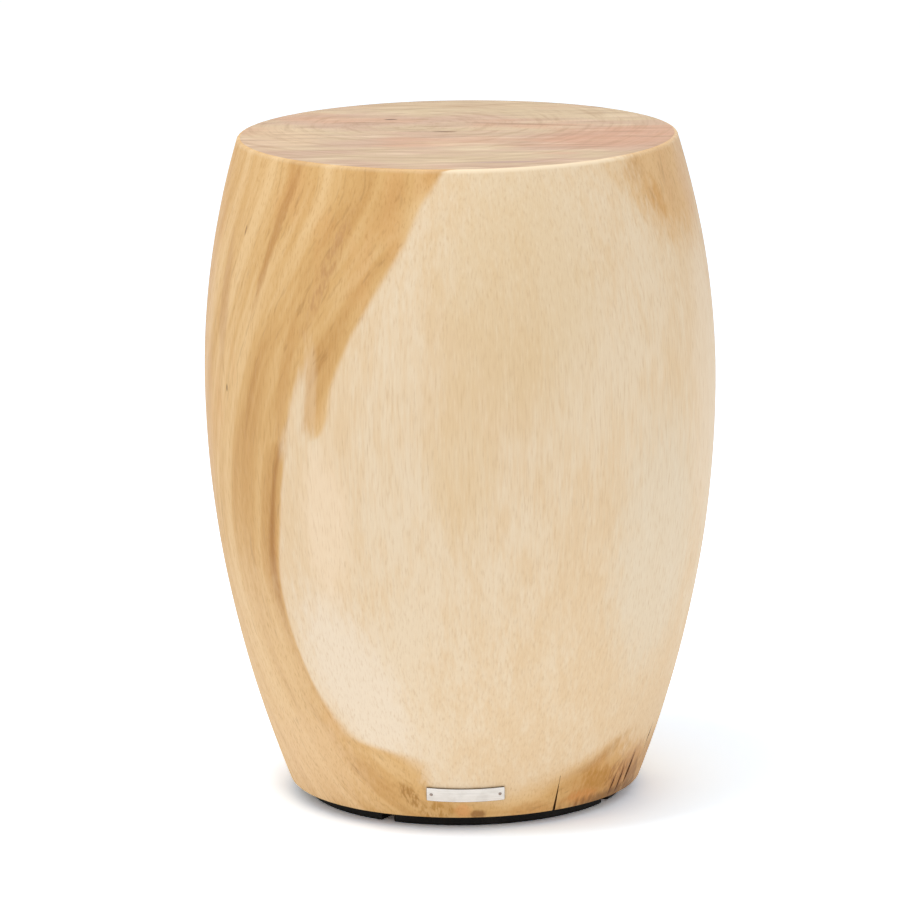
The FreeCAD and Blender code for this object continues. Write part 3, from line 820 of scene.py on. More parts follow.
@dataclass(frozen=True)
class FlankWood(StainedAndShaded):
    """The log's sanded flank, along the grain."""

    profile: LogProfile
    sap_pale: Colour = paint(236, 215, 184)
    sap_honey: Colour = paint(231, 203, 164)
    heart_light: Colour = paint(229, 192, 138)
    heart_mid: Colour = paint(217, 174, 113)
    heart_brown: Colour = paint(205, 158, 96)
    heart_dark: Colour = paint(174, 122, 62)
    orange: Colour = paint(219, 164, 104)
    fibre_tone: Colour = paint(206, 172, 130)
    heart_fibre_tone: Colour = paint(178, 128, 70)
    bright_tone: Colour = paint(250, 232, 204)
    pore_tone: Colour = paint(150, 108, 62)
    # Pale rim tone: partly worn wood and partly a painted highlight where the eased edge catches the light.
    rim: Colour = paint(248, 228, 196)
    fibre_share: float = 0.35
    bright_share: float = 0.22
    sap_pore_share: float = 0.07
    heart_dash_share: float = 0.24
    rim_share: float = 0.8
    heart_rim_share: float = 0.15
    mottle_share: float = 0.6
    grain_share: float = 0.5
    streak_share: float = 0.3
    warm_share: float = 0.3
    edge_depth: float = 7 * MM
    drift_stretch: Triple = (11, 11, 5)
    mottle_stretch: Triple = (75, 75, 24)
    grain_stretch: Triple = (430, 430, 30)
    patch_stretch: Triple = (26, 26, 8)

    # Tints of the sapwood and of the heartwood, and then marks on both; a few marks are painted shade along
    # the drying checks and at the foot's lower right.
    sap_tints: ClassVar[tuple[StainOrShade, ...]] = (
        StainOrShade(14, 372 * MM, 75 * MM, 110 * MM, 0, 0.5, 0, paint(226, 198, 154), 0.5),
        StainOrShade(0, 260 * MM, 30 * MM, 70 * MM, 0, 0.8, 0, paint(228, 198, 152), 0.4),
        StainOrShade(52, 190 * MM, 60 * MM, 130 * MM, 0, 0.5, 0, paint(232, 217, 192), 0.7),
        StainOrShade(-29, 105 * MM, 44 * MM, 90 * MM, -19, 0.6, 0, paint(240, 223, 199), 0.9),
        StainOrShade(-32, 215 * MM, 24 * MM, 70 * MM, 0, 0.6, 0, paint(242, 218, 186), 0.8),
        StainOrShade(78, 290 * MM, 60 * MM, 170 * MM, 0, 0.5, 0, paint(238, 218, 190), 0.7),
    )
    heart_tints: ClassVar[tuple[StainOrShade, ...]] = (
        StainOrShade(-62, 90 * MM, 80 * MM, 130 * MM, 0, 0.4, 0, paint(238, 207, 162), 0.5),
        StainOrShade(-85, 300 * MM, 40 * MM, 170 * MM, 0, 0.4, 0, paint(226, 190, 150), 0.5),
        StainOrShade(-67.2, 352 * MM, 9 * MM, 60 * MM, 0, 0.8, 0, paint(196, 150, 100), 0.5),
        StainOrShade(-48.5, 402 * MM, 5 * MM, 70 * MM, 16, 0.8, 0, paint(180, 126, 66), 0.55),
        StainOrShade(-31.5, 384 * MM, 8 * MM, 52 * MM, 20, 0.8, 0.8, paint(180, 128, 84), 0.45),
        StainOrShade(-41.9, 312 * MM, 7 * MM, 60 * MM, 10, 0.6, 0, paint(198, 146, 82), 0.4),
        StainOrShade(-35, 304 * MM, 8.5 * MM, 46 * MM, 0, 0.5, 0, paint(228, 195, 152), 0.6),
        StainOrShade(-50, 40 * MM, 60 * MM, 50 * MM, 0, 0.6, 0, paint(230, 195, 150), 0.5),
        StainOrShade(66, 432 * MM, 90 * MM, 80 * MM, 0, 0.6, 0, paint(228, 190, 142), 0.6),
        StainOrShade(80, 425 * MM, 30 * MM, 50 * MM, 0, 0.6, 0, paint(224, 188, 148), 0.6),
        StainOrShade(57, 419 * MM, 12 * MM, 18 * MM, -16, 0.9, 0.4, paint(208, 154, 84), 0.7),
        StainOrShade(50, 440 * MM, 14 * MM, 10 * MM, 0, 0.9, 0.4, paint(200, 156, 104), 0.5),
    )
    marks: ClassVar[tuple[StainOrShade, ...]] = (
        StainOrShade(47, 18 * MM, 34 * MM, 24 * MM, 0, 0.9, 0, paint(200, 144, 74), 0.75),
        StainOrShade(62, 26 * MM, 24 * MM, 24 * MM, 0, 0.9, 0, paint(196, 140, 82), 0.65),
        StainOrShade(45, 26 * MM, 18 * MM, 13 * MM, -20, 0.9, 0.5, paint(182, 128, 46), 0.7),
        StainOrShade(40, 15 * MM, 18 * MM, 8 * MM, 0, 0.9, 0.3, paint(216, 140, 72), 0.5),
        StainOrShade(56, 23 * MM, 18 * MM, 18 * MM, 0, 0.9, 0.8, paint(140, 82, 36), 0.5),
        # Painted shade: dark lines along the mouths of the three drying checks at 53 to 62 degrees.
        StainOrShade(61.8, 26 * MM, 4 * MM, 16 * MM, 4, 0.5, 0, paint(130, 78, 36), 0.6),
        StainOrShade(57.3, 20 * MM, 3 * MM, 13 * MM, 4, 0.5, 0, paint(136, 84, 38), 0.55),
        StainOrShade(53.4, 18 * MM, 2.5 * MM, 11 * MM, 4, 0.5, 0, paint(140, 86, 40), 0.55),
        StainOrShade(80, 20 * MM, 46 * MM, 34 * MM, 0, 0.9, 0.3, paint(176, 124, 68), 0.7),
        # A dark band along the foot's edge, just above the pads, at the front right.
        StainOrShade(54, 8 * MM, 56 * MM, 10 * MM, 0, 0.8, 0, paint(92, 54, 20), 0.62),
        # Partly a dark stain and partly painted shadow, at the lower right where the foot meets the pads.
        StainOrShade(66, 16 * MM, 14 * MM, 18 * MM, 0, 0.8, 0.3, paint(112, 70, 36), 0.5),
        StainOrShade(22, 12 * MM, 22 * MM, 8 * MM, 0, 0.8, 0.4, paint(202, 148, 82), 0.6),
        StainOrShade(-17.5, 25 * MM, 9 * MM, 11 * MM, -25, 0.8, 0.8, paint(162, 114, 48), 0.75),
        StainOrShade(-9, 14 * MM, 18 * MM, 8 * MM, 0, 1.0, 0.8, paint(176, 124, 46), 0.75),
        StainOrShade(-1, 14 * MM, 8 * MM, 7 * MM, 0, 0.6, 0, paint(224, 158, 96), 0.6),
        StainOrShade(4, 11.5 * MM, 7 * MM, 4 * MM, 0, 0.9, 0, paint(130, 80, 26), 0.7),
        StainOrShade(-63.9, 294 * MM, 1.2 * MM, 3.2 * MM, 0, 0.3, 0, paint(110, 72, 30), 0.9),
        StainOrShade(-60.8, 400 * MM, 0.9 * MM, 5 * MM, 8, 0.3, 0, paint(140, 100, 60), 0.8),
    )

    def heart_colour(self, dressing: Dressing, growth: Sequence[Socket], uneven: Sequence[Socket]) -> Socket:
        """Colours the heartwood: bands and streaks along the rings, darkest just inside its edge.

        Args:
            dressing: The material.
            growth: The growth group's outputs.
            uneven: The unevenness group's outputs.

        Returns:
            The colour.
        """
        graph, place = dressing.graph, dressing.place
        patchy = graph.grain(place, self.patch_stretch, detail=3)
        streak = graph.math("SUBTRACT", growth["Streak"], 0.5)
        streaked = graph.math("MULTIPLY_ADD", streak, self.streak_share, growth["Band"])
        rising = graph.step(growth["Edge"], 0.0, self.edge_depth / 4)
        falling = graph.step(growth["Edge"], self.edge_depth, self.edge_depth / 2)
        ridge = graph.math("MULTIPLY", rising, falling)
        stripe = graph.math("MULTIPLY", ridge, graph.step(patchy, 0.25, 0.5, 0.4, 1.0))
        climb = graph.math("DIVIDE", graph.axes(place)["Z"], self.profile.top_height)
        darker = graph.math("MULTIPLY", stripe, graph.step(climb, 0.5, 0.7, 0.06, 0.14))
        tone = graph.math("SUBTRACT", streaked, darker)
        stops = (
            (0.2, self.heart_dark),
            (0.34, self.heart_brown),
            (0.48, self.heart_mid),
            (0.64, self.heart_light),
        )
        warm = graph.math("MULTIPLY", graph.step(patchy, 0.55, 0.7), self.warm_share)
        colour = graph.mix(warm, graph.ramp(tone, *stops), self.orange)
        return self.stained_and_shaded(dressing, colour, uneven, self.heart_tints)

    def material(self) -> bpy.types.Material:
        """Mixes heartwood and sapwood, lays tints and marks on them, a few of them painted shade, and draws
        the fibres.
        """
        dressing = self.begin("log_flank")
        graph, place = dressing.graph, dressing.place
        growth = Growth(self.profile).place(graph, {"Place": place})
        fibre = Fibre().place(graph, {"Place": place})
        drift = graph.grain(place, self.drift_stretch, detail=3)
        mottle = graph.grain(place, self.mottle_stretch, detail=3)
        mixed = graph.math("MULTIPLY_ADD", graph.math("SUBTRACT", mottle, 0.5), self.mottle_share, drift)
        grain = graph.grain(place, self.grain_stretch)
        mixed = graph.math("MULTIPLY_ADD", graph.math("SUBTRACT", grain, 0.5), self.grain_share, mixed)
        sap = graph.mix(graph.step(mixed, 0.3, 0.7), self.sap_pale, self.sap_honey)
        uneven = Unevenness().place(graph, {"Place": place})
        sap = self.stained_and_shaded(dressing, sap, uneven, self.sap_tints)
        colour = graph.mix(growth["Heart"], sap, self.heart_colour(dressing, growth, uneven))
        colour = self.stained_and_shaded(dressing, colour, uneven, self.marks)
        dark_fibre = graph.math("MULTIPLY", graph.step(fibre["Fibre"], 0.5, 0.25), self.fibre_share)
        dark_tone = graph.mix(growth["Heart"], self.fibre_tone, self.heart_fibre_tone)
        colour = graph.mix(dark_fibre, colour, dark_tone)
        bright_share = graph.step(growth["Heart"], 0.0, 1.0, self.bright_share, self.bright_share / 4)
        bright_fibre = graph.math("MULTIPLY", graph.step(fibre["Fibre"], 0.52, 0.75), bright_share)
        colour = graph.mix(bright_fibre, colour, self.bright_tone)
        colour = graph.lay(colour, self.pore_tone, fibre["Pore"], self.sap_pore_share)
        sparse = graph.math("MULTIPLY", growth["Heart"], graph.step(growth["Streak"], 0.56, 0.4))
        dash = graph.math("MULTIPLY", graph.step(growth["Dash"], 0.56, 0.7), sparse)
        colour = graph.lay(colour, self.pore_tone, dash, self.heart_dash_share)
        colour = self.rim_worn_and_lit(dressing, colour, growth["Heart"])
        dressing.set(base_color=colour, roughness=graph.step(fibre["Fibre"], 0.3, 0.7, 0.62, 0.5))
        dressing.set(specular_ior_level=0.3)
        dressing.raise_relief(fibre["Relief"], depth=0.25 * MM, strength=0.3)
        return dressing.material


@dataclass(frozen=True)
class EndGrainWood(StainedAndShaded):
    """The log's sanded top and underside, across the grain."""

    profile: LogProfile
    cream: Colour = paint(209, 185, 151)
    tan: Colour = paint(203, 171, 146)
    blush: Colour = paint(209, 166, 136)
    line_tone: Colour = paint(160, 126, 98)
    pore_tone: Colour = paint(168, 134, 104)
    # Pale rim tone: partly worn wood and partly a painted highlight where the eased edge catches the light;
    # the pale strands take it too.
    rim: Colour = paint(246, 224, 192)
    blush_share: float = 0.75
    dark_strand_share: float = 0.42
    pale_strand_share: float = 0.34
    pore_share: float = 0.25
    rim_share: float = 0.7
    heart_rim_share: float = 0.15
    drift_stretch: Triple = (12, 26, 12)
    blush_stretch: Triple = (10, 24, 10)
    blush_shift: Triple = (3.7, 1.9, 0)
    strand_stretch: Triple = (20, 190, 30)

    ring_shares: ClassVar[tuple[tuple[str, float], ...]] = (("Band", 0.26), ("Streak", 0.22))
    marks: ClassVar[tuple[TopMark, ...]] = (
        TopMark(105 * MM, -25 * MM, 75 * MM, 60 * MM, 15, paint(206, 156, 128), 0.6),
        TopMark(-120 * MM, -10 * MM, 40 * MM, 70 * MM, 0, paint(216, 186, 150), 0.6),
        TopMark(0 * MM, 118 * MM, 110 * MM, 44 * MM, 0, paint(208, 186, 150), 0.7),
        TopMark(46 * MM, 37 * MM, 75 * MM, 2.6 * MM, -15, paint(150, 112, 84), 0.5, 0.6),
        TopMark(31 * MM, -119 * MM, 34 * MM, 5 * MM, 2, paint(176, 142, 140), 0.6),
        TopMark(-45 * MM, 63.8 * MM, 6 * MM, 3 * MM, 0, paint(96, 66, 44), 0.85),
        TopMark(-9 * MM, 9 * MM, 11 * MM, 3 * MM, -6, paint(104, 74, 46), 0.8),
        TopMark(-30 * MM, 12 * MM, 16 * MM, 2.4 * MM, 4, paint(140, 104, 74), 0.5),
        TopMark(-70 * MM, 52 * MM, 22 * MM, 2.8 * MM, 3, paint(150, 112, 86), 0.5),
    )

    def material(self) -> bpy.types.Material:
        """Draws the rings, the strands and the open pores."""
        dressing = self.begin("log_end_grain")
        graph, place = dressing.graph, dressing.place
        growth = Growth(self.profile).place(graph, {"Place": place})
        fibre = Fibre().place(graph, {"Place": place})
        drift = graph.grain(place, self.drift_stretch, detail=3)
        colour = graph.mix(graph.step(drift, 0.38, 0.6), self.cream, self.tan)
        blush = graph.cloud(graph.vector("MULTIPLY_ADD", place, self.blush_stretch, self.blush_shift))
        colour = graph.lay(colour, self.blush, graph.step(blush, 0.48, 0.66), self.blush_share)
        uneven = Unevenness().place(graph, {"Place": place})
        colour = self.stained_and_shaded(dressing, colour, uneven, self.marks)
        strands = graph.grain(place, self.strand_stretch, detail=3)
        colour = graph.lay(colour, self.line_tone, graph.step(strands, 0.5, 0.28), self.dark_strand_share)
        colour = graph.lay(colour, self.rim, graph.step(strands, 0.54, 0.72), self.pale_strand_share)
        for name, share in self.ring_shares:
            colour = graph.lay(colour, self.line_tone, graph.step(growth[name], 0.5, 0.3), share)
        colour = graph.lay(colour, self.pore_tone, fibre["Pore"], self.pore_share)
        colour = self.rim_worn_and_lit(dressing, colour, growth["Heart"])
        dressing.set(base_color=colour, roughness=graph.step(growth["Band"], 0.3, 0.7, 0.6, 0.5))
        dressing.set(specular_ior_level=0.3)
        dressing.raise_relief(fibre["Relief"], depth=0.2 * MM, strength=0.3)
        return dressing.material


@dataclass(frozen=True)
class CheckWood(Finish):
    """The torn walls inside a drying check, coloured dark as painted shade for the crack's depth."""

    # Both tones are darker than the wood: painted shade inside the crack, darkest in the deep tone.
    raw: Colour = paint(120, 78, 40)
    deep: Colour = paint(40, 22, 10)

    def material(self) -> bpy.types.Material:
        """Draws coarse fibres between a near-black painted shade tone and a darkened raw wood tone."""
        dressing = self.begin("log_check_wall_painted_shade")
        graph, place = dressing.graph, dressing.place
        fibre = Fibre().place(graph, {"Place": place})
        dressing.set(base_color=graph.mix(graph.step(fibre["Fibre"], 0.35, 0.65), self.deep, self.raw))
        dressing.set(roughness=graph.step(fibre["Fibre"], 0.3, 0.7, 0.9, 0.75), specular_ior_level=0.2)
        dressing.raise_relief(fibre["Relief"], depth=0.4 * MM, strength=0.5)
        return dressing.material


@dataclass(frozen=True)
class BrushedMetal(Finish):
    """Metal with fine scratches and traces of handling."""

    title: str
    bright: Colour
    dull: Colour
    stretch: Triple
    smudge_size: float
    metallic: float
    roughness: float
    scratch_share: float = 0.35
    tarnish_share: float = 0.4
    roughening: float = 0.12

    def material(self) -> bpy.types.Material:
        """Draws the scratches and the tarnish."""
        dressing = self.begin(self.title)
        graph, place = dressing.graph, dressing.place
        scratch = Brushing().place(graph, {"Place": place, "Stretch": self.stretch})["Scratch"]
        smudge = Smudge().place(graph, {"Place": place, "Size": self.smudge_size})["Mask"]
        scratched = graph.step(scratch, 0.35, 0.65)
        tarnish = graph.math("MULTIPLY", smudge, self.tarnish_share)
        share = graph.math("MULTIPLY_ADD", scratched, self.scratch_share, tarnish)
        dressing.set(base_color=graph.mix(share, self.bright, self.dull), metallic=self.metallic)
        rough_scratch = graph.step(scratch, 0.3, 0.7, 0.0, self.roughening)
        uneven = graph.math("MULTIPLY_ADD", smudge, self.roughening, rough_scratch)
        dressing.set(roughness=graph.math("ADD", uneven, self.roughness))
        dressing.raise_relief(scratch, depth=0.03 * MM, strength=0.25)
        return dressing.material


@dataclass(frozen=True)
class MouldedRubber(Finish):
    """Matt black rubber with a fine moulded grain and a little floor dust."""

    black: Colour = paint(13, 13, 14)
    worn: Colour = paint(24, 23, 22)
    dust: Colour = paint(120, 114, 106)
    dust_share: float = 0.05
    dust_size: float = 24 * MM
    grain_stretch: Triple = (1500, 1500, 1500)

    def material(self) -> bpy.types.Material:
        """Draws the grain and the dust."""
        dressing = self.begin("foot_rubber")
        graph, place = dressing.graph, dressing.place
        grain = graph.grain(place, self.grain_stretch)
        smudge = Smudge().place(graph, {"Place": place, "Size": self.dust_size})["Mask"]
        colour = graph.mix(graph.step(grain, 0.4, 0.7), self.black, self.worn)
        colour = graph.lay(colour, self.dust, smudge, self.dust_share)
        dressing.set(base_color=colour, roughness=graph.step(grain, 0.3, 0.7, 0.82, 0.66))
        dressing.set(specular_ior_level=0.3)
        dressing.raise_relief(grain, depth=0.12 * MM, strength=0.5)
        return dressing.material


@dataclass(frozen=True)
class DryingCheck:
    """A crack that opened along the grain as the log dried, V-shaped seen from above."""

    heading_deg: float
    low: float
    high: float
    width: float
    depth: float
    lean_deg: float = 0.0
    open_at_foot: bool = False

    def opening(self, height: float) -> float:
        """Gives how far the crack is open at a height, as a share of its width."""
        share = (height - self.low) / (self.high - self.low)
        if not 0 <= share < 1:
            return 0.0
        return 1 - share if self.open_at_foot else math.sin(math.pi * share)

    def heading_at(self, height: float) -> float:
        """Gives the heading of the crack's middle at a height."""
        share = min(max((height - self.low) / (self.high - self.low), 0.0), 1.0)
        return self.heading_deg + self.lean_deg * (share - 0.5)


@dataclass(frozen=True)
class Ring:
    """One ring of the log's mesh."""

    radius: float
    height: float
    on_end: bool
    eased: bool = False


def join_rows(made: bmesh.types.BMesh, low: Row, high: Row) -> list[bmesh.types.BMFace]:
    """Joins two closed rows of points by a band of faces.

    Args:
        made: The mesh.
        low: The row that comes first.
        high: The next row, with as many points.

    Returns:
        The faces, in the order of the points that they begin with.
    """
    corners = zip(low, low[1:] + low[:1], high[1:] + high[:1], high)
    return [made.faces.new(four) for four in corners]


def cap_row(made: bmesh.types.BMesh, row: Row, height: float, backwards: bool) -> list[bmesh.types.BMFace]:
    """Closes a row of points by a fan round a point on the axis.

    Args:
        made: The mesh.
        row: The row.
        height: The height of the fan's middle.
        backwards: Whether the fan faces down.

    Returns:
        The faces.
    """
    middle = made.verts.new((0, 0, height))
    corners = [(first, second, middle) for first, second in zip(row, row[1:] + row[:1])]
    return [made.faces.new(three[::-1] if backwards else three) for three in corners]


def add_object(name: str, data: bpy.types.ID) -> bpy.types.Object:
    """Adds an object to the scene for its data."""
    made = bpy.data.objects.new(name, data)
    bpy.context.scene.collection.objects.link(made)
    return made


def add_piece(
    name: str, made: bmesh.types.BMesh, materials: Iterable[bpy.types.Material]
) -> bpy.types.Object:
    """Turns a finished mesh into an object of the scene.

    Args:
        name: The piece's name.
        made: Its mesh, which is freed.
        materials: Its materials, in the order of its faces' numbers.

    Returns:
        The new object.
    """
    mesh = bpy.data.meshes.new(name)
    made.normal_update()
    made.to_mesh(mesh)
    made.free()
    for material in materials:
        mesh.materials.append(material)
    mesh.shade_smooth()
    mesh.set_sharp_from_angle(angle=SHARP_ANGLE)
    return add_object(name, mesh)


def stand_for(piece: bpy.types.Object, node: str) -> None:
    """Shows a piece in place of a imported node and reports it.

    Args:
        piece: The new piece.
        node: The node that it stands for.
    """
    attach(piece, "root")
    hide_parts(node)
    logger.info("%s stands for %s: %d faces", piece.name, node, len(piece.data.polygons))


def dress_node(node: str, material: bpy.types.Material) -> None:
    """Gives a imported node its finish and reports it.

    Args:
        node: The node's name.
        material: Its material.
    """
    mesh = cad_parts[node].data
    mesh.materials.clear()
    mesh.materials.append(material)
    logger.info("%s keeps its own shape: %d faces", node, len(mesh.polygons))


@dataclass(frozen=True)
class TurnedLog:
    """The log: a fine mesh of the turned outline, a little uneven, with its drying checks cut in."""

    profile: LogProfile
    columns: int = 600
    flank_step: float = 6 * MM
    foot_step: float = 1.5 * MM
    foot_zone: float = 60 * MM
    end_step: float = 9 * MM
    arc_steps: int = 7
    unevenness: float = 0.35 * MM
    uneven_size: float = 48 * MM
    rim_chip: float = 0.35 * MM
    rim_chip_size: float = 9 * MM
    closed_width: float = 0.3 * MM
    # How fast a check reaches its depth: at 1 it is full only where it is widest.
    check_steepness: float = 1.4

    checks: ClassVar[tuple[DryingCheck, ...]] = (
        DryingCheck(29.5, 8.5 * MM, 33.5 * MM, 2.0 * MM, 9 * MM, open_at_foot=True),
        DryingCheck(53.4, 12 * MM, 25 * MM, 1.2 * MM, 4 * MM, lean_deg=1.2),
        DryingCheck(57.3, 11 * MM, 28 * MM, 1.5 * MM, 5 * MM, lean_deg=1.2),
        DryingCheck(61.6, 13 * MM, 36 * MM, 2.2 * MM, 7 * MM, lean_deg=1.5),
        DryingCheck(70.8, 36 * MM, 52 * MM, 1.3 * MM, 5 * MM, lean_deg=1.0),
    )
    # How much the columns next to a check's middle follow it, outwards from the middle.
    follow_shares: ClassVar[tuple[float, ...]] = (1.0, 1.0, 0.5)

    @property
    def column_step(self) -> float:
        """The heading from one column to the next, in degrees."""
        return 360 / self.columns

    def middle_column(self, check: DryingCheck) -> int:
        """Gives the column that runs along a check's middle."""
        return round(check.heading_deg / self.column_step)

    def arc(self, radius: float, height: float, size: float, first: float, last: float) -> list[Ring]:
        """Gives the rings of an eased edge.

        Args:
            radius: The radius of the circle that the easing's centres lie on.
            height: The height of that circle.
            size: The easing's own radius.
            first: The angle above level where it begins, in radians.
            last: The angle where it ends.

        Returns:
            The rings from the first angle to the last.
        """
        angles = [first + (last - first) * step / self.arc_steps for step in range(self.arc_steps + 1)]
        return [Ring(radius + size * math.cos(a), height + size * math.sin(a), False, True) for a in angles]

    def rings(self) -> list[Ring]:
        """Gives the rings from the underside's middle, up the flank, to the top's middle."""
        outline = self.profile
        end_count = round(outline.top_flat_radius / self.end_step)
        shares = [number / end_count for number in range(1, end_count)]
        underside = [Ring(outline.foot_flat_radius * share, outline.foot_height, True) for share in shares]
        top = [Ring(outline.top_flat_radius * share, outline.top_height, True) for share in reversed(shares)]
        foot_middle = outline.foot_height + outline.foot_round
        foot_turn = (-math.pi / 2, -outline.foot_lean)
        foot = self.arc(outline.foot_flat_radius, foot_middle, outline.foot_round, *foot_turn)
        rim_middle = outline.top_height - outline.rim_round
        rim_turn = (outline.rim_lean, math.pi / 2)
        rim = self.arc(outline.top_flat_radius, rim_middle, outline.rim_round, *rim_turn)
        flank = []
        height = outline.flank_foot
        while height < outline.shoulder_top - self.flank_step:
            height += self.foot_step if height < self.foot_zone else self.flank_step
            flank.append(Ring(outline.radius_at(height), height, False))
        return underside + foot + flank + rim + top

    def column_pulls(self, height: float) -> dict[int, float]:
        """Gives the headings of the columns that follow a drying check at a height, by column number."""
        step = self.column_step
        degrees_per_metre = math.degrees(1 / self.profile.radius_at(height))
        pulled = {}
        for check in self.checks:
            middle = self.middle_column(check)
            half = max(check.width * check.opening(height), self.closed_width) / 2 * degrees_per_metre
            for away, follow in enumerate(self.follow_shares):
                target = min(away, 1) * half + max(away - 1, 0) * step
                for side in (-1, 1):
                    column = middle + side * away
                    own = column * step
                    pulled[column] = own + follow * (check.heading_at(height) + side * target - own)
        return pulled

    def cut_depth(self, column: int, height: float) -> float:
        """Gives how deep a check's middle column lies below the surface at a height."""
        for check in self.checks:
            if column == self.middle_column(check):
                return check.depth * min(check.opening(height) * self.check_steepness, 1.0)
        return 0.0

    def vertex(self, ring: Ring, column: int, heading_deg: float) -> Vector:
        """Places one point of the mesh.

        Args:
            ring: The ring that it is on.
            column: Its column's number.
            heading_deg: Its column's heading on this ring.

        Returns:
            The point.
        """
        outline = self.profile
        point = outward(heading_deg) * ring.radius + UP * ring.height
        if ring.on_end:
            if ring.height == outline.foot_height:
                share = 1 - self.cut_depth(column, outline.foot_height) / outline.foot_flat_radius
                return outward(heading_deg) * ring.radius * share + UP * ring.height
            return point
        dip = self.unevenness * (0.5 + 0.5 * noise(point / self.uneven_size))
        if ring.eased:
            dip += self.rim_chip * max(noise(point / self.rim_chip_size), 0.0)
        dip += self.cut_depth(column, max(ring.height, outline.foot_height))
        return point - outward(heading_deg) * dip

    def build(self) -> bmesh.types.BMesh:
        """Makes the mesh and sorts its faces by their finishes."""
        made = bmesh.new()
        middles = {self.middle_column(check): check for check in self.checks}
        rings = self.rings()
        grid = []
        for ring in rings:
            pulled = self.column_pulls(max(ring.height, self.profile.flank_foot))
            headings = [pulled.get(column, column * self.column_step) for column in range(self.columns)]
            points = [self.vertex(ring, column, heading) for column, heading in enumerate(headings)]
            grid.append([made.verts.new(point) for point in points])
        for (below, above), (low, high) in zip(pairwise(rings), pairwise(grid)):
            on_end = below.on_end or above.on_end
            heights = (below.height, above.height)
            for column, face in enumerate(join_rows(made, low, high)):
                check = middles.get(column) or middles.get((column + 1) % self.columns)
                torn = check and not on_end and any(check.opening(height) > 0 for height in heights)
                plain = LogFace.END_GRAIN if on_end else LogFace.FLANK
                face.material_index = LogFace.CHECK_WALL if torn else plain
        for ring, row, backwards in ((rings[0], grid[0], True), (rings[-1], grid[-1], False)):
            for face in cap_row(made, row, ring.height, backwards):
                face.material_index = LogFace.END_GRAIN
        return made

    def dress(self) -> None:
        """Builds the log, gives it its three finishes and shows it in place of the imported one."""
        finishes = {
            LogFace.FLANK: FlankWood(self.profile),
            LogFace.END_GRAIN: EndGrainWood(self.profile),
            LogFace.CHECK_WALL: CheckWood(),
        }
        piece = add_piece("log", self.build(), [finishes[kind].material() for kind in LogFace])
        stand_for(piece, "log_body")


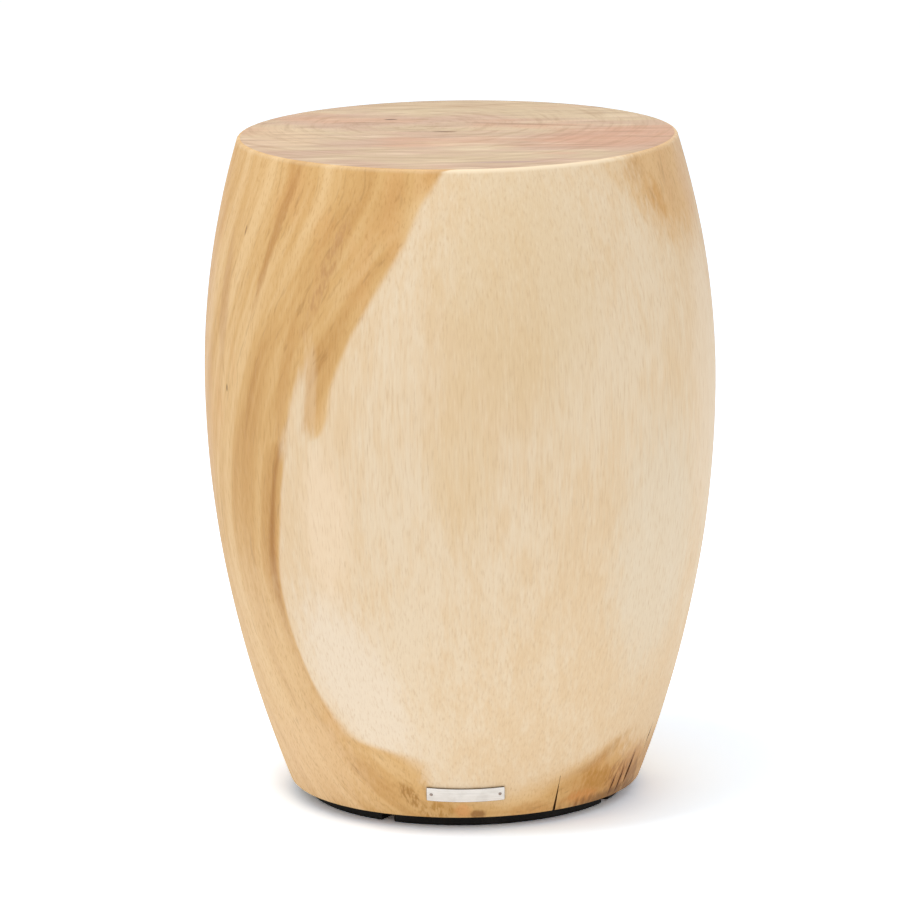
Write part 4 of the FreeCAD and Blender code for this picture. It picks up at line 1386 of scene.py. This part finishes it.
@dataclass(frozen=True)
class NamePlate:
    """The blank plate, bent round the flank, and the two pins that hold it."""

    profile: LogProfile
    length: float = 52 * MM
    width: float = 10.5 * MM
    thickness: float = 0.8 * MM
    corner_round: float = 0.8 * MM
    edge_ease: float = 0.16 * MM
    rise: float = 18.0 * MM
    seat_gap: float = 0.1 * MM
    roll_rise: float = 0.3 * MM
    length_steps: int = 40
    corner_steps: int = 4
    ease_segments: int = 3
    pin_inset: float = 3.2 * MM
    pin_length: float = 12 * MM
    pin_radius: float = 0.6 * MM
    pin_tip: float = 2 * MM
    head_radius: float = 1.1 * MM
    head_height: float = 0.6 * MM
    head_steps: int = 8
    pin_sides: int = 40

    @property
    def seat_height(self) -> float:
        """The height of the plate's middle on the flank."""
        return self.profile.foot_height + self.rise

    def bent(self, along: float, across: float, out: float) -> Vector:
        """Rolls a point of the flat plate onto the flank, which is close to a cone there.

        Args:
            along: Its place along the plate, from the middle.
            across: Its place up the plate, from the middle.
            out: Its distance from the wood.

        Returns:
            The point on the log.
        """
        lean = self.profile.lean_at(self.seat_height)
        slant = self.profile.radius_at(self.seat_height) / math.sin(lean)
        rolled = math.hypot(along, slant + across)
        heading = math.atan2(along, slant + across) / math.sin(lean)
        radius = rolled * math.sin(lean) + out * math.cos(lean)
        climb = (rolled - slant - self.roll_rise) * math.cos(lean)
        height = self.seat_height + climb - out * math.sin(lean)
        return outward(math.degrees(heading)) * radius + UP * height

    def outline(self) -> list[tuple[float, float]]:
        """Gives the flat plate's outline: straight sides, in steps along the length, and round corners."""
        half_long, half_wide = self.length / 2 - self.corner_round, self.width / 2 - self.corner_round
        points = []
        for quarter, (x, y) in enumerate(((1, -1), (1, 1), (-1, 1), (-1, -1))):
            for step in range(self.corner_steps + 1):
                angle = math.pi / 2 * (quarter - 1 + step / self.corner_steps)
                round_x, round_y = self.corner_round * math.cos(angle), self.corner_round * math.sin(angle)
                points.append((x * half_long + round_x, y * half_wide + round_y))
        return points

    def build_plate(self) -> bmesh.types.BMesh:
        """Makes the plate flat, eases its edges and bends it; its cut edges' faces are numbered 1."""
        made = bmesh.new()
        face = made.faces.new([made.verts.new((x, y, self.seat_gap)) for x, y in self.outline()])
        lifted = bmesh.ops.extrude_face_region(made, geom=[face])["geom"]
        upper = [item for item in lifted if isinstance(item, bmesh.types.BMVert)]
        bmesh.ops.translate(made, verts=upper, vec=(0, 0, self.thickness))
        bmesh.ops.recalc_face_normals(made, faces=made.faces)
        for side in made.faces:
            side.material_index = int(abs(side.normal.z) < 0.5)
        rims = [edge for edge in made.edges if len({face.material_index for face in edge.link_faces}) == 2]
        ease = {"offset": self.edge_ease, "segments": self.ease_segments, "profile": 0.5}
        bmesh.ops.bevel(made, geom=rims, affect="EDGES", material=1, **ease)
        for number in range(1, self.length_steps):
            cut = self.length * (number / self.length_steps - 0.5)
            geometry = made.verts[:] + made.edges[:] + made.faces[:]
            bmesh.ops.bisect_plane(made, geom=geometry, plane_co=(cut, 0, 0), plane_no=(1, 0, 0))
        for vertex in made.verts:
            vertex.co = self.bent(*vertex.co)
        return made

    def build_pin(self, heading_sign: int) -> bmesh.types.BMesh:
        """Turns one pin: a point, a shank and a domed head that bears on the plate.

        Args:
            heading_sign: -1 for the left pin, and 1 for the right one.

        Returns:
            The pin's mesh, in its place.
        """
        outline = [(self.pin_radius, self.pin_tip - self.pin_length), (self.pin_radius, 0.0)]
        for step in range(self.head_steps):
            angle = math.pi / 2 * step / self.head_steps
            outline.append((self.head_radius * math.cos(angle), self.head_height * math.sin(angle)))
        made = bmesh.new()
        turns = [math.tau * number / self.pin_sides for number in range(self.pin_sides)]
        rows = [[made.verts.new((r * math.cos(t), r * math.sin(t), z)) for t in turns] for r, z in outline]
        for low, high in pairwise(rows):
            join_rows(made, low, high)
        cap_row(made, rows[0], -self.pin_length, backwards=True)
        cap_row(made, rows[-1], self.head_height, backwards=False)
        along = heading_sign * (self.length / 2 - self.pin_inset)
        seat = self.bent(along, 0.0, self.seat_gap + self.thickness)
        axis = self.bent(along, 0.0, 2 * self.thickness) - self.bent(along, 0.0, self.thickness)
        turn = axis.to_track_quat("Z", "Y").to_matrix().to_4x4()
        made.transform(Matrix.Translation(seat) @ turn)
        return made

    def dress(self) -> None:
        """Builds the plate and its pins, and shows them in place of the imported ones."""
        lengthways = (60, 60, 1600)
        face = BrushedMetal(
            "plate_face",
            paint(238, 235, 231),
            paint(217, 213, 207),
            lengthways,
            smudge_size=9 * MM,
            metallic=0.35,
            roughness=0.42,
        )
        # The cut edges are dark: partly tarnish and partly painted shadow for the dark line along the plate's
        # top edge.
        edge = BrushedMetal(
            "plate_cut_edge_tarnish_and_shadow",
            paint(120, 104, 84),
            paint(84, 70, 54),
            lengthways,
            smudge_size=3 * MM,
            metallic=0.6,
            roughness=0.5,
        )
        plate = add_piece("blank_plate", self.build_plate(), [face.material(), edge.material()])
        stand_for(plate, "name_plate")
        head = BrushedMetal(
            "pin_head",
            paint(170, 156, 148),
            paint(120, 104, 96),
            (900, 900, 900),
            smudge_size=1.2 * MM,
            metallic=0.7,
            roughness=0.4,
        )
        metal = head.material()
        for side, sign in (("left", -1), ("right", 1)):
            stand_for(add_piece(f"pin_{side}", self.build_pin(sign), [metal]), f"plate_pin_{side}")


@dataclass(frozen=True)
class FootRing:
    """The four rubber foot pads and the screws that hold them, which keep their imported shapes."""

    pad_word: str = "foot_pad"
    screw_word: str = "pad_screw"

    def dress(self) -> None:
        """Gives every pad and screw its finish."""
        zinc = BrushedMetal(
            "screw_zinc",
            paint(196, 196, 194),
            paint(150, 150, 150),
            (700, 700, 300),
            smudge_size=2 * MM,
            metallic=0.9,
            roughness=0.32,
        )
        finishes = {self.pad_word: MouldedRubber().material(), self.screw_word: zinc.material()}
        for node in sorted(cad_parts):
            for word, material in finishes.items():
                if node.startswith(word):
                    dress_node(node, material)


@dataclass(frozen=True)
class Studio:
    """A pale floor, soft white light and a camera at the picture's angle."""

    picture_pixels: int = 920
    focal_pixels: float = 5906.4
    sensor: float = 36.0
    distance: float = 4.0
    elevation_deg: float = 12.28
    roll_deg: float = -0.74
    aim_height: float = 226.4 * MM
    aim_right_pixels: float = 1.3
    floor_radius: float = 20.0
    floor_sides: int = 96
    floor_roughness: float = 0.9
    floor_white: float = 0.74
    floor_glow: float = 0.41
    floor_lift: Colour = (0.62, 0.77, 0.95, 1.0)
    glow_from: float = 108 * MM
    glow_to: float = 130 * MM
    inner_glow: float = 84 * MM
    inner_full_share: float = 0.8
    sky: float = 0.73
    key_power: float = 20.0
    key_size: float = 0.7
    key_distance: float = 2.2
    key_heading_deg: float = -55.0
    key_elevation_deg: float = 76.0

    def add_camera(self) -> None:
        """Adds the camera, level but for the picture's small roll."""
        data = bpy.data.cameras.new("camera")
        data.sensor_width = self.sensor
        data.lens = self.focal_pixels * self.sensor / self.picture_pixels
        elevation = math.radians(self.elevation_deg)
        back = outward(0) * math.cos(elevation) + UP * math.sin(elevation)
        turn = (-back).to_track_quat("-Z", "Y") @ Quaternion((0, 0, 1), math.radians(self.roll_deg))
        sideways = turn @ Vector((-self.aim_right_pixels * self.distance / self.focal_pixels, 0, 0))
        camera = add_object("camera", data)
        camera.rotation_mode = "QUATERNION"
        camera.rotation_quaternion = turn
        camera.location = UP * self.aim_height + back * self.distance + sideways
        bpy.context.scene.camera = camera

    def add_floor(self) -> None:
        """Adds the floor, which can be seen through from below."""
        made = bmesh.new()
        bmesh.ops.create_circle(made, cap_ends=True, segments=self.floor_sides, radius=self.floor_radius)
        material = bpy.data.materials.new("floor")
        material.use_nodes = True
        graph = Graph(material.node_tree)
        shader = material.node_tree.nodes["Principled BSDF"]
        shader.inputs["Base Color"].default_value = (*(self.floor_white,) * 3, 1.0)
        shown = graph.node("LightPath").outputs["Is Camera Ray"]
        away = graph.measure("LENGTH", graph.node("TexCoord").outputs["Object"])
        open_floor = graph.step(away, self.glow_from, self.glow_to)
        inner_full = self.inner_glow * self.inner_full_share
        open_floor = graph.math("ADD", open_floor, graph.step(away, self.inner_glow, inner_full))
        unseen = graph.math("MULTIPLY", open_floor, graph.math("SUBTRACT", 1.0, shown))
        graph.feed(shader.inputs["Emission Strength"], graph.math("MULTIPLY", unseen, self.floor_glow))
        shader.inputs["Emission Color"].default_value = (1, 1, 1, 1)
        shader.inputs["Roughness"].default_value = self.floor_roughness
        shader.inputs["Specular IOR Level"].default_value = 0.0
        lift = graph.node("BsdfDiffuse")
        graph.feed(lift.inputs["Color"], graph.mix(shown, (0, 0, 0, 1), self.floor_lift))
        total = graph.filled("AddShader", (shader.outputs["BSDF"], lift.outputs["BSDF"]))
        below = graph.node("NewGeometry").outputs["Backfacing"]
        clear = graph.node("BsdfTransparent").outputs["BSDF"]
        blend = graph.filled("MixShader", (below, total.outputs["Shader"], clear))
        output = material.node_tree.nodes["Material Output"]
        graph.feed(output.inputs["Surface"], blend.outputs["Shader"])
        add_piece("floor", made, [material])

    def add_light(self) -> None:
        """Adds the white surround and the soft key light from the left."""
        world = bpy.data.worlds.new("white_surround")
        world.use_nodes = True
        graph = Graph(world.node_tree)
        shown = graph.node("LightPath").outputs["Is Camera Ray"]
        strength = graph.step(shown, 0.0, 1.0, self.sky, 1.0)
        background = world.node_tree.nodes["Background"].inputs
        graph.feed(background["Color"], (1, 1, 1, 1))
        graph.feed(background["Strength"], strength)
        bpy.context.scene.world = world
        data = bpy.data.lights.new("key", "AREA")
        data.energy, data.size = self.key_power, self.key_size
        elevation = math.radians(self.key_elevation_deg)
        way = outward(self.key_heading_deg) * math.cos(elevation) + UP * math.sin(elevation)
        key = add_object("key", data)
        key.location = UP * self.aim_height + way * self.key_distance
        key.rotation_mode = "QUATERNION"
        key.rotation_quaternion = way.to_track_quat("Z", "Y")

    def build(self) -> None:
        """Sets the stage and plain colours."""
        self.add_camera()
        self.add_floor()
        self.add_light()
        bpy.context.scene.view_settings.view_transform = "Standard"
        bpy.context.scene.view_settings.look = "None"


def main() -> None:
    """Builds the table's looks, piece by piece, and the studio round it."""
    logging.basicConfig(level=logging.INFO, format="%(message)s")
    low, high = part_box("log_body")
    profile = LogProfile(belly_radius=high.x, foot_height=low.z, top_height=high.z)
    for assembly in (TurnedLog(profile), NamePlate(profile), FootRing()):
        assembly.dress()
    Studio().build()


if __name__ == "__main__":
    main()
